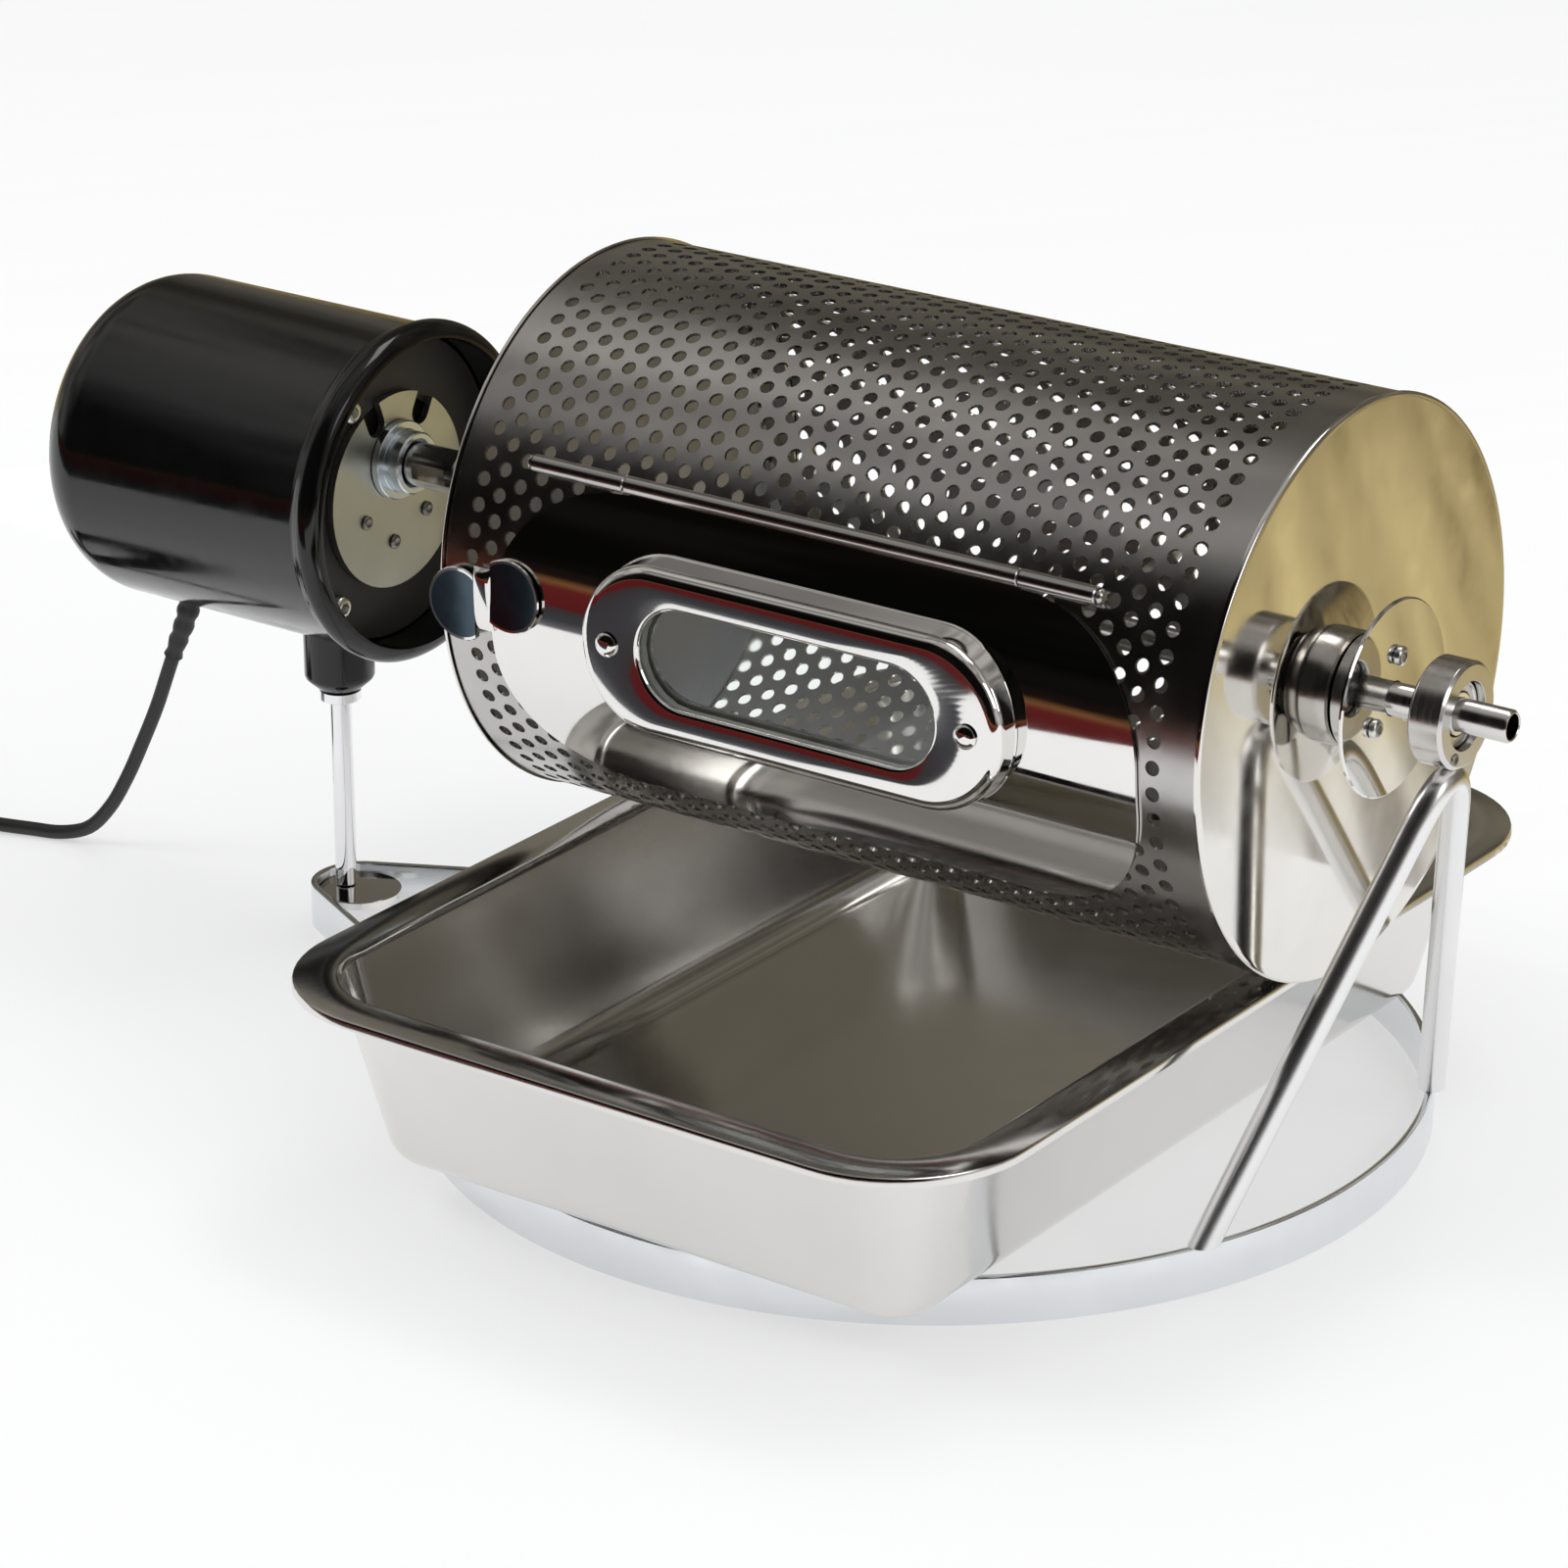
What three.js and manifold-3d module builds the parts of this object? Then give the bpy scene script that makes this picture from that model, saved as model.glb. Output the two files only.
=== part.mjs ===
// Home coffee bean roaster. A perforated steel drum turns between a geared motor and a ball
// bearing, over a lift-out tray on an open base. Millimetres, +Z up.
// The pieces are placed in the machine's own frame: the drum's axis lies along X above y = 0,
// the motor is at -X, the bearing at +X, and the drum's door faces the front, -Y.
import * as THREE from 'three'
import { mergeVertices } from 'three/addons/utils/BufferGeometryUtils.js'
import Module from 'manifold-3d'

const wasm = await Module()
wasm.setup()

const { PI, sin, cos, sqrt, hypot, asin, atan2, max, min } = Math
const radians = THREE.MathUtils.degToRad

// Driving dimensions
const drumRadius = 70
const drumLength = 218
const drumWall = 0.8
const shaftRadius = 4
const seatGap = 0.3
const runningGap = 0.1
const overrun = 2

// Overall places along the drum's axis, each from the drum's end outwards
const drumEnd = drumLength / 2
const bearingStandoff = 24.7
const shaftOverhang = 16.3
const housingStandoff = 62
const housingLength = 102
const postSetback = 31.5
const bearingX = drumEnd + bearingStandoff
const shaftEndX = bearingX + shaftOverhang
const housingFrontX = -drumEnd - housingStandoff
const housingBackX = housingFrontX - housingLength
const postX = housingFrontX - postSetback

const base = {
  radius: 129, centreX: -12, band: 12.5, wall: 2,
  noseOffset: 5, noseRadius: 13.5, noseHalfAngle: 27, blendRadius: 40,
}
base.noseX = postX + base.noseOffset

const tray = {
  width: 203, length: 285, centreX: -3.5, centreY: -14.5, rimZ: 62,
  cornerRadius: 35, flange: 11, slope: 13, sheet: 0.8, lip: 2.2, bottomRadius: 9, drumLift: 4.3,
}
const axisHeight = tray.rimZ + tray.drumLift + drumRadius

const bracket = {
  rodRadius: 3.5, footY: 55.5, topHalfWidth: 5, bendRadius: 11, sides: 14, steps: 7,
}

const bearing = {
  housingWall: 5, housingLength: 9, width: 5, lip: 1.7, lipGap: 1.1,
  innerRace: 1.05, track: 1.75, outerRace: 1.1, shield: 0.4, shieldGap: 0.35,
  balls: 7, ballRadius: 0.68, cageHalfWidth: 0.5, cageHalfDepth: 0.22,
  screwRadius: 1.5, screwLength: 5, screwProud: 0.4, screwInset: 2.4, screwAngle: 240,
}
bearing.innerRaceRadius = shaftRadius + runningGap + bearing.innerRace
bearing.shieldRadius = bearing.innerRaceRadius + bearing.shieldGap
bearing.lipRadius = bearing.shieldRadius + bearing.lipGap
bearing.outerRaceInner = bearing.innerRaceRadius + bearing.track
bearing.boreRadius = bearing.outerRaceInner + bearing.outerRace
bearing.housingRadius = bearing.boreRadius + bearing.housingWall
bearing.screwOffset = bearing.housingRadius - bearing.screwInset

const cap = {
  plate: 1.2, rimProud: 0.6, rimRound: 0.8, spigotLength: 6, spigotWall: 0.8, facets: 60,
}
cap.rimRadius = drumRadius + cap.rimProud

const hub = { bearingRadius: 14, bearingLength: 7.9, driveRadius: 12, driveLength: 9.5 }

const disc = {
  radius: 24, thickness: 1.2, screws: 3, screwCircle: 10.5, screwAngle: 85,
  screwRadius: 1.4, screwLength: 6.5, headRadius: 2.4, headHeight: 1.6,
}

const coupling = {
  wall: 1.8, standoff: 49, length: 19, slotDepth: 13, slotHeight: 4.4, web: 0.8,
}
coupling.radius = shaftRadius + coupling.wall
coupling.endX = -drumEnd - coupling.standoff
coupling.startX = coupling.endX - coupling.length

const shaft = { boreWall: 1.4, boreDepth: 3.5, chamfer: 0.5, tongueLength: 4.3 }
shaft.boreRadius = shaftRadius - shaft.boreWall
shaft.tongueHeight = coupling.slotHeight - 2 * seatGap

const vane = { height: 21.9, sheet: 1.4, sweep: 68, lead: 62, steps: 18 }
const vaneStarts = [
  { angle: 32, xShare: -0.13 },
  { angle: 137, xShare: 0.56 },
  { angle: 245, xShare: 0.82 },
]

const door = {
  endInset: 16.3, halfArc: 40, cornerRadius: 36, centreAngle: -5.75, sheet: 0.8,
  lap: 5, rows: 26,
}
door.halfLength = drumEnd - door.endInset
door.topAngle = door.centreAngle + door.halfArc / radians(drumRadius)

const hinge = {
  rise: 2.455, barrelRadius: 2.2, pinRadius: 1.2, ballRadius: 1.9, leafInset: 36.7,
  leftInset: 25, rightInset: 32, proud: 1.6, leafAngle: 1.9, facets: 14,
}
hinge.angle = door.topAngle + hinge.rise / radians(drumRadius)
hinge.leafHalfLength = door.halfLength - hinge.leafInset
hinge.leftX = -drumEnd + hinge.leftInset
hinge.rightX = drumEnd - hinge.rightInset

const glass = { endInset: 50.2, halfHeight: 12.5, lap: 5.5, thickness: 3 }
glass.halfLength = door.halfLength - glass.endInset
const gasket = { width: 4.5, thickness: 1.7 }

const frameDish = {
  endMargin: 12.5, sideMargin: 3.5, faceProud: 8.3, sheet: 1, round: 3.2, wall: 1,
}
frameDish.halfLength = glass.halfLength + glass.lap + frameDish.endMargin
frameDish.halfHeight = glass.halfHeight + glass.lap + frameDish.sideMargin
frameDish.faceRadius = drumRadius + frameDish.faceProud

const windowRivet = { offset: 9, headRadius: 3, headHeight: 1.3, shankRadius: 1.6, tailHeight: 1.1 }
windowRivet.x = glass.halfLength + windowRivet.offset

const latch = {
  lap: 1.8, z: 0.3, ridgeHalfWidth: 2.8, ridgeHeight: 1.95, ridgeHalfHeight: 8, bulge: 0.4,
  dish: 1.35, sheet: 0.6, gap: 0.35, facets: 28,
}
latch.x = -door.halfLength - latch.lap
const latchWings = [
  { side: 1, reach: 9.9, halfWidth: 7.8, halfHeight: 8.7, z: 2.9 },
  { side: -1, reach: 9.3, halfWidth: 7.2, halfHeight: 9.6, z: -2.6 },
]

const motor = {
  shaftOffset: 8, lipRadius: 45.75, mouthRadius: 41.4, bodyRadius: 43.6, tailRadius: 43.6,
  lipLength: 9, rearRound: 16.5, wall: 2.3, facets: 48,
}
motor.axisZ = axisHeight - motor.shaftOffset

const boss = { radius: 9.5, within: 1.3, length: 18.5, tipLength: 3.5, tipRadius: 6 }
boss.topZ = motor.axisZ - motor.bodyRadius + boss.within
boss.bottomZ = boss.topZ - boss.length
boss.shoulderZ = boss.bottomZ + boss.tipLength
const post = { radius: 2.9, footRadius: 11.1, footZ: 8, footThickness: 2.2, capThickness: 4 }
post.topZ = boss.topZ - post.capThickness
const collar = { radius: 5.6, height: 3 }

const gearbox = {
  plateSetback: 11.8, plateThickness: 2, plateRadius: 41, plateHole: 24,
  screwRadius: 1.5, headRadius: 3.2, headHeight: 2.3,
  screwLength: 9, pillarRadius: 5, pillarLength: 14,
  faceRadius: 26.3, faceThickness: 2, faceDrop: 0.5, notchRadius: 3.4, notchSink: 5,
  notchAngles: [62, 112], rivetRadius: 1.9, rivetHead: 0.7, rivetShank: 1.1, rivetLength: 8,
  rivetAngles: [205, 262, 322], rivetCircle: 14.5,
  caseRadius: 26.5, caseLength: 18, boreShare: 0.6, canRadius: 25, canLength: 46,
  bushFlange: 2.3, bushBase: 2, noseWall: 1.9, noseLength: 4.7, recessGap: 0.6,
}
gearbox.plateX = housingFrontX - gearbox.plateSetback
gearbox.recessRadius = coupling.radius + gearbox.recessGap
gearbox.noseRadius = gearbox.recessRadius + gearbox.noseWall
gearbox.bushRadius = gearbox.noseRadius + gearbox.bushFlange

const plateScrewPlaces = [[-16.6, 25], [-22.9, -27], [32.5, -1.5]]

const gland = { inset: 17.5, radius: 3.2, neckRadius: 2.5, below: 1.5, above: 1.6 }
gland.x = housingBackX + gland.inset

const cord = { radius: 2, sides: 8, stepLength: 4.5 }
const coil = {
  x: -352, y: -43.2, inner: 16.2, pitch: 5.2, layer: 4.7, floorGap: 0.95, turns: 2.75,
  startAngle: 90, sides: 6, stepsPerTurn: 24, lead: 3, tail: 19,
}
const tie = { sheet: 0.6, width: 5, gap: 0.35, angle: 200 }
const plug = {
  length: 23, neckLength: 12, halfWidth: 13, halfHeight: 7.2, neckHalf: 3.8, round: 3,
  pinRadius: 2, pinLength: 19, pinSpacing: 18.6,
}

// Places that follow from the sizes above
const shellEnd = drumEnd - cap.plate - seatGap
const hingeCircle = drumRadius + seatGap + hinge.barrelRadius
const hingePoint = {
  y: -hingeCircle * cos(radians(hinge.angle)),
  z: hingeCircle * sin(radians(hinge.angle)),
}
const doorInner = drumRadius + seatGap
const doorOuter = doorInner + door.sheet
const bracketTopZ = axisHeight - bearing.housingRadius - seatGap - bracket.rodRadius
const trayBottomZ = base.band + seatGap

// Finishes
const metal = (color, roughness) => new THREE.MeshStandardMaterial({ color, roughness, metalness: 1 })
const plastic = (color, roughness) => new THREE.MeshStandardMaterial({ color, roughness, metalness: 0 })
const polished = () => metal(0xd8d6d2, 0.12)
const brushed = () => metal(0xb4b1ac, 0.3)
const darkSteel = () => metal(0x8a8580, 0.28)
const chrome = () => metal(0xe6e6ea, 0.08)
const zinc = () => metal(0xc4c2b4, 0.35)
const blackGloss = () => plastic(0x0b0b0c, 0.15)
const blackMatt = () => plastic(0x1b1a18, 0.55)
const softBlack = () => plastic(0x131313, 0.5)
const clearGlass = () => {
  const finish = plastic(0xdfe6e2, 0.05)
  finish.transparent = true
  finish.opacity = 0.35
  return finish
}
const silicone = () => plastic(0xd9d5cb, 0.7)

// Geometry helpers
const mergeTolerance = 1e-4

function bare(geometry) {
  const copy = geometry.index ? geometry.toNonIndexed() : geometry.clone()
  copy.deleteAttribute('normal')
  copy.deleteAttribute('uv')
  return mergeVertices(copy, mergeTolerance)
}

function closedMesh(geometry) {
  const merged = bare(geometry)
  const position = merged.attributes.position
  const index = merged.index.array
  const a = new THREE.Vector3()
  const b = new THREE.Vector3()
  const c = new THREE.Vector3()
  const triangles = []
  let volume = 0
  for (let i = 0; i < index.length; i += 3) {
    const [p, q, r] = [index[i], index[i + 1], index[i + 2]]
    if (p === q || q === r || r === p) continue
    triangles.push([p, q, r])
    a.fromBufferAttribute(position, p)
    b.fromBufferAttribute(position, q)
    c.fromBufferAttribute(position, r)
    volume += a.dot(b.cross(c))
  }
  const outward = volume > 0 ? triangles : triangles.map(([p, q, r]) => [p, r, q])
  return { vertices: Float32Array.from(position.array), triangles: Uint32Array.from(outward.flat()) }
}

function solid(geometry) {
  const { vertices, triangles } = closedMesh(geometry)
  return new wasm.Manifold(
    new wasm.Mesh({ numProp: 3, vertProperties: vertices, triVerts: triangles }))
}

function geometryOf(form) {
  const mesh = form.getMesh()
  const geometry = new THREE.BufferGeometry()
  geometry.setAttribute('position', new THREE.BufferAttribute(mesh.vertProperties, 3))
  geometry.setIndex(new THREE.BufferAttribute(mesh.triVerts, 1))
  return geometry
}

function piece(name, form, finish) {
  let geometry
  if (form.getMesh) {
    geometry = geometryOf(form)
  } else {
    const { vertices, triangles } = closedMesh(form)
    geometry = new THREE.BufferGeometry()
    geometry.setAttribute('position', new THREE.BufferAttribute(vertices, 3))
    geometry.setIndex(new THREE.BufferAttribute(triangles, 1))
  }
  geometry.computeVertexNormals()
  const mesh = new THREE.Mesh(geometry, finish)
  mesh.name = name
  return mesh
}

function moved(geometry, x, y, z) {
  return geometry.translate(x, y, z)
}

// Turned pieces about X: the profile is a list of [x, radius]
function turned(profile, facets) {
  const points = profile.map(([x, radius]) => new THREE.Vector2(radius, x))
  return new THREE.LatheGeometry(points, facets).rotateZ(-PI / 2)
}

function rod(startX, endX, radius, facets) {
  return turned([[startX, 0], [startX, radius], [endX, radius], [endX, 0]], facets)
}

function ring(startX, endX, inner, outer, facets) {
  return turned([[startX, inner], [startX, outer], [endX, outer], [endX, inner], [startX, inner]], facets)
}

// Turned pieces about Z: the profile is a list of [z, radius]
function upright(profile, facets) {
  return turned(profile, facets).rotateY(-PI / 2)
}

function uprightRod(lowZ, highZ, radius, facets) {
  return upright([[lowZ, 0], [lowZ, radius], [highZ, radius], [highZ, 0]], facets)
}

// Turned pieces about Y: the profile is a list of [distance towards the front, radius]
function fromFront(profile, facets) {
  return turned(profile, facets).rotateZ(-PI / 2)
}

function arc(centreX, centreY, radius, from, to, steps) {
  const points = []
  for (let i = 0; i <= steps; i += 1) {
    const angle = radians(from + (to - from) * i / steps)
    points.push([centreX + radius * cos(angle), centreY + radius * sin(angle)])
  }
  return points
}

const shapeOf = (points) => new THREE.Shape(points.map(([x, y]) => new THREE.Vector2(x, y)))

function extruded(points, depth, holes = []) {
  const shape = shapeOf(points)
  for (const hole of holes) shape.holes.push(shapeOf(hole))
  return new THREE.ExtrudeGeometry(shape, { depth, bevelEnabled: false })
}

function obround(halfLength, halfHeight, steps) {
  const straight = halfLength - halfHeight
  return [
    ...arc(straight, 0, halfHeight, -90, 90, steps),
    ...arc(-straight, 0, halfHeight, 90, 270, steps),
  ]
}

// A plate that faces the front: an outline in X and Z between two distances from the drum's axis
function frontPlate(outline, backDistance, frontDistance, holes = []) {
  const plate = extruded(outline, frontDistance - backDistance, holes)
  return moved(plate.rotateX(PI / 2), 0, -backDistance, 0)
}

// A skin through a list of loops with equal numbers of points, closed by a fan at each end
function loft(loops) {
  const count = loops[0].length
  const positions = []
  const push = (...corners) => corners.forEach((corner) => positions.push(...corner))
  const middle = (loop) => [0, 1, 2].map((axis) => loop.reduce((sum, p) => sum + p[axis], 0) / count)
  for (let k = 0; k + 1 < loops.length; k += 1) {
    for (let i = 0; i < count; i += 1) {
      const j = (i + 1) % count
      push(loops[k][i], loops[k][j], loops[k + 1][j])
      push(loops[k][i], loops[k + 1][j], loops[k + 1][i])
    }
  }
  const first = middle(loops[0])
  const last = middle(loops[loops.length - 1])
  for (let i = 0; i < count; i += 1) {
    const j = (i + 1) % count
    push(first, loops[0][j], loops[0][i])
    push(last, loops[loops.length - 1][i], loops[loops.length - 1][j])
  }
  const geometry = new THREE.BufferGeometry()
  geometry.setAttribute('position', new THREE.Float32BufferAttribute(positions, 3))
  return geometry
}

// A point on a cylinder round the drum's axis: 0 degrees is the front and 90 the top
const onDrum = (x, radius, degrees) => [
  x, -radius * cos(radians(degrees)), radius * sin(radians(degrees))]

// A plate bent round the drum's axis: each row has its angle and its two ends in X
function bentPlate(rows, inner, outer) {
  return loft(rows.map(({ angle, left, right }) => [
    onDrum(left, inner, angle), onDrum(right, inner, angle),
    onDrum(right, outer, angle), onDrum(left, outer, angle)]))
}

// Rows of a rounded rectangle of the given half length, half arc and corner, wrapped on the drum
function roundedRows(halfLength, halfArc, cornerRadius, centreAngle, steps) {
  const rows = []
  for (let i = 0; i <= steps; i += 1) {
    const along = halfArc * sin(PI * (i / steps - 1 / 2))
    const corner = max(0, Math.abs(along) - (halfArc - cornerRadius))
    const reach = halfLength - cornerRadius + sqrt(max(0, cornerRadius ** 2 - corner ** 2))
    rows.push({ angle: centreAngle + along / radians(drumRadius), left: -reach, right: reach })
  }
  return rows
}

// Base
function baseOutline(inset) {
  const { radius, centreX, noseX, noseRadius, noseHalfAngle, blendRadius } = base
  const slope = radians(noseHalfAngle)
  const along = [cos(slope), sin(slope)]
  const across = [-sin(slope), cos(slope)]
  const offset = noseRadius + blendRadius
  const start = [noseX - centreX + offset * across[0], offset * across[1]]
  const reach = radius + blendRadius
  const half = start[0] * along[0] + start[1] * along[1]
  const travel = -half - sqrt(half ** 2 - hypot(...start) ** 2 + reach ** 2)
  const blend = [start[0] + travel * along[0] + centreX, start[1] + travel * along[1]]
  const turn = THREE.MathUtils.radToDeg(atan2(blend[1], blend[0] - centreX))
  const upper = [
    ...arc(centreX, 0, radius - inset, 0, turn, 26),
    ...arc(blend[0], blend[1], blendRadius + inset, turn - 180, noseHalfAngle - 90, 6).slice(1),
    ...arc(noseX, 0, noseRadius - inset, noseHalfAngle + 90, 180, 5),
  ]
  const lower = upper.slice(1, -1).reverse().map(([x, y]) => [x, -y])
  return [...upper, ...lower]
}

function makeBase() {
  const band = extruded(baseOutline(0), base.band, [baseOutline(base.wall)])
  return [piece('base_ring', band, polished())]
}

// A path straight from point to point
class PointPath extends THREE.Curve {
  constructor(points) {
    super()
    this.points = points
  }

  getPoint(t, target = new THREE.Vector3()) {
    const last = this.points.length - 1
    const place = min(last, max(0, t * last))
    const low = min(last - 1, Math.floor(place))
    return target.lerpVectors(this.points[low], this.points[low + 1], place - low)
  }

  getPointAt(t, target) {
    return this.getPoint(t, target)
  }
}

// Bearing bracket and bearing
function bracketPoints() {
  const footX = base.centreX + sqrt((base.radius - base.wall / 2) ** 2 - bracket.footY ** 2)
  const top = new THREE.Vector3(bearingX, bracket.topHalfWidth, bracketTopZ)
  const foot = new THREE.Vector3(footX, bracket.footY, base.band - bracket.rodRadius)
  const down = foot.clone().sub(top).normalize()
  const bendEnd = top.clone().addScaledVector(down, bracket.bendRadius)
  const bendStart = top.clone().setY(0)
  const bend = new THREE.QuadraticBezierCurve3(bendStart, top, bendEnd).getPoints(bracket.steps)
  const half = [...bend, foot]
  const mirrored = half.slice(1).reverse().map((v) => new THREE.Vector3(v.x, -v.y, v.z))
  return [...mirrored, ...half]
}

function circle(radius, sides) {
  return arc(0, 0, radius, 0, 360, sides).slice(0, -1)
}

function tube(path, radius, sides, steps) {
  const section = shapeOf(circle(radius, sides))
  return new THREE.ExtrudeGeometry(section, { extrudePath: path, steps, bevelEnabled: false })
}

function makeBracket() {
  const points = bracketPoints()
  const reach = 2 * base.radius
  const below = new THREE.BoxGeometry(reach, reach, base.band)
  const floor = solid(moved(below, base.centreX + base.radius, 0, base.band / 2 + seatGap))
  const rodBody = tube(new PointPath(points), bracket.rodRadius, bracket.sides, points.length - 1)
  const bent = solid(rodBody).subtract(floor)
  return [piece('bearing_bracket', bent, chrome())]
}

function makeBearing() {
  const left = bearingX - bearing.housingLength / 2
  const right = bearingX + bearing.housingLength / 2
  const bore = bearing.boreRadius + seatGap
  const raceLeft = left + bearing.lip + seatGap
  const raceRight = raceLeft + bearing.width
  const { lipRadius, housingRadius, outerRaceInner, shield, shieldRadius } = bearing
  const lipEnd = left + bearing.lip
  const housing = turned([
    [left, lipRadius], [left, housingRadius], [right, housingRadius], [right, bore],
    [lipEnd, bore], [lipEnd, lipRadius], [left, lipRadius]], 40)
  const screwY = bearing.screwOffset * cos(radians(bearing.screwAngle))
  const screwZ = bearing.screwOffset * sin(radians(bearing.screwAngle))
  const screwStart = right - bearing.screwLength
  const hole = rod(screwStart - seatGap, right + overrun, bearing.screwRadius + seatGap, 12)
  const screw = rod(screwStart, right + bearing.screwProud, bearing.screwRadius, 12)
  const outerRace = turned([
    [raceLeft, bearing.boreRadius], [raceRight, bearing.boreRadius], [raceRight, shieldRadius],
    [raceRight - shield, shieldRadius], [raceRight - shield, outerRaceInner],
    [raceLeft + shield, outerRaceInner], [raceLeft + shield, shieldRadius],
    [raceLeft, shieldRadius], [raceLeft, bearing.boreRadius]], 32)
  const shaftHole = shaftRadius + runningGap
  const innerRace = ring(raceLeft, raceRight, shaftHole, bearing.innerRaceRadius, 32)
  const track = (bearing.innerRaceRadius + outerRaceInner) / 2
  const middle = (raceLeft + raceRight) / 2
  const { cageHalfWidth, cageHalfDepth, ballRadius, balls } = bearing
  let cage = solid(ring(middle - cageHalfWidth, middle + cageHalfWidth,
    track - cageHalfDepth, track + cageHalfDepth, 21))
  for (let i = 0; i < balls; i += 1) {
    const angle = 2 * PI * i / balls
    const ball = new THREE.SphereGeometry(ballRadius, 6, 4)
    cage = cage.add(solid(moved(ball, middle, track * cos(angle), track * sin(angle))))
  }
  return {
    fixed: [
      piece('bearing_housing', solid(housing).subtract(solid(moved(hole, 0, screwY, screwZ))), brushed()),
      piece('bearing_screw', moved(screw, 0, screwY, screwZ), zinc()),
      piece('bearing_outer_race', outerRace, darkSteel()),
    ],
    turning: [
      piece('bearing_inner_race', innerRace, chrome()),
      piece('bearing_ball_cage', cage, chrome()),
    ],
  }
}

// Motor post
function makePost() {
  const footTop = post.footZ + post.footThickness
  const foot = uprightRod(post.footZ, footTop, post.footRadius, 32)
  const upright6 = uprightRod(footTop + seatGap, post.topZ, post.radius, 20)
  const collarTop = boss.bottomZ - seatGap
  const nut = upright([
    [collarTop - collar.height, post.radius + seatGap], [collarTop - collar.height, collar.radius],
    [collarTop, collar.radius], [collarTop, post.radius + seatGap],
    [collarTop - collar.height, post.radius + seatGap]], 24)
  return [
    piece('post_foot', moved(foot, base.noseX, 0, 0), polished()),
    piece('motor_post', moved(upright6, postX, 0, 0), chrome()),
    piece('post_collar', moved(nut, postX, 0, 0), chrome()),
  ]
}

// Motor housing: a deep cup open towards the drum, with a boss for the post
function housingProfile() {
  const { lipRadius, mouthRadius, bodyRadius, tailRadius, lipLength, rearRound, wall } = motor
  const lipWidth = lipRadius - mouthRadius
  const lipCentre = housingFrontX - lipWidth
  const outerLip = arc(lipCentre, lipRadius - lipWidth, lipWidth, 0, 90, 4)
  const neck = [[housingFrontX - lipLength * 0.7, (lipRadius + bodyRadius) / 2],
    [housingFrontX - lipLength, bodyRadius]]
  const roundX = housingBackX + rearRound
  const rear = arc(roundX, tailRadius - rearRound, rearRound, 90, 180, 5)
  const innerRound = rearRound - wall
  const inside = arc(roundX, tailRadius - rearRound, innerRound, 180, 90, 3)
  return [
    ...outerLip, ...neck, ...rear, [housingBackX, 0],
    [housingBackX + wall, 0], ...inside, [housingFrontX - lipLength, mouthRadius],
  ]
}

function makeHousing() {
  const cup = solid(turned([...housingProfile(), [housingFrontX, motor.mouthRadius]], motor.facets))
  const hollow = solid(rod(housingBackX / 2 + housingFrontX / 2 - overrun, housingFrontX - motor.lipLength,
    motor.mouthRadius, motor.facets))
  const bossTop = boss.topZ - motor.axisZ
  const stem = solid(moved(upright([
    [boss.bottomZ - motor.axisZ, 0], [boss.bottomZ - motor.axisZ, boss.tipRadius],
    [boss.shoulderZ - motor.axisZ, boss.radius], [bossTop, boss.radius], [bossTop, 0]], 32),
  postX, 0, 0)).subtract(hollow)
  const boreZ = post.topZ + seatGap - motor.axisZ
  const bore = solid(moved(uprightRod(boss.bottomZ - overrun - motor.axisZ, boreZ,
    post.radius + seatGap, 20), postX, 0, 0))
  const glandHole = solid(moved(uprightRod(-motor.lipRadius - overrun, -motor.mouthRadius + overrun,
    gland.neckRadius + seatGap, 16), gland.x, 0, 0))
  let cupWithBoss = cup.add(stem).subtract(bore).subtract(glandHole)
  const { pillarRadius, pillarLength, plateX, plateThickness } = gearbox
  const pillarFront = plateX - plateThickness - seatGap
  const pillarBack = pillarFront - pillarLength
  const screwEnd = plateX - gearbox.screwLength
  const withinWall = solid(ring(pillarBack, pillarFront, gearbox.caseRadius + seatGap,
    motor.bodyRadius - motor.wall / 2, motor.facets))
  for (const [y, z] of plateScrewPlaces) {
    const pillar = solid(moved(rod(pillarBack, pillarFront, pillarRadius, 12), 0, y, z))
    const rib = new THREE.BoxGeometry(pillarLength, motor.bodyRadius, 2 * pillarRadius)
    rib.translate((pillarBack + pillarFront) / 2, hypot(y, z) + motor.bodyRadius / 2, 0)
    const hole = rod(screwEnd - seatGap, pillarFront + overrun, gearbox.screwRadius + seatGap, 12)
    cupWithBoss = cupWithBoss
      .add(pillar.add(solid(rib.rotateX(atan2(z, y)))).intersect(withinWall))
      .subtract(solid(moved(hole, 0, y, z)))
  }
  const mesh = piece('motor_housing', cupWithBoss, blackGloss())
  mesh.position.z = motor.axisZ
  return [mesh]
}

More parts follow.
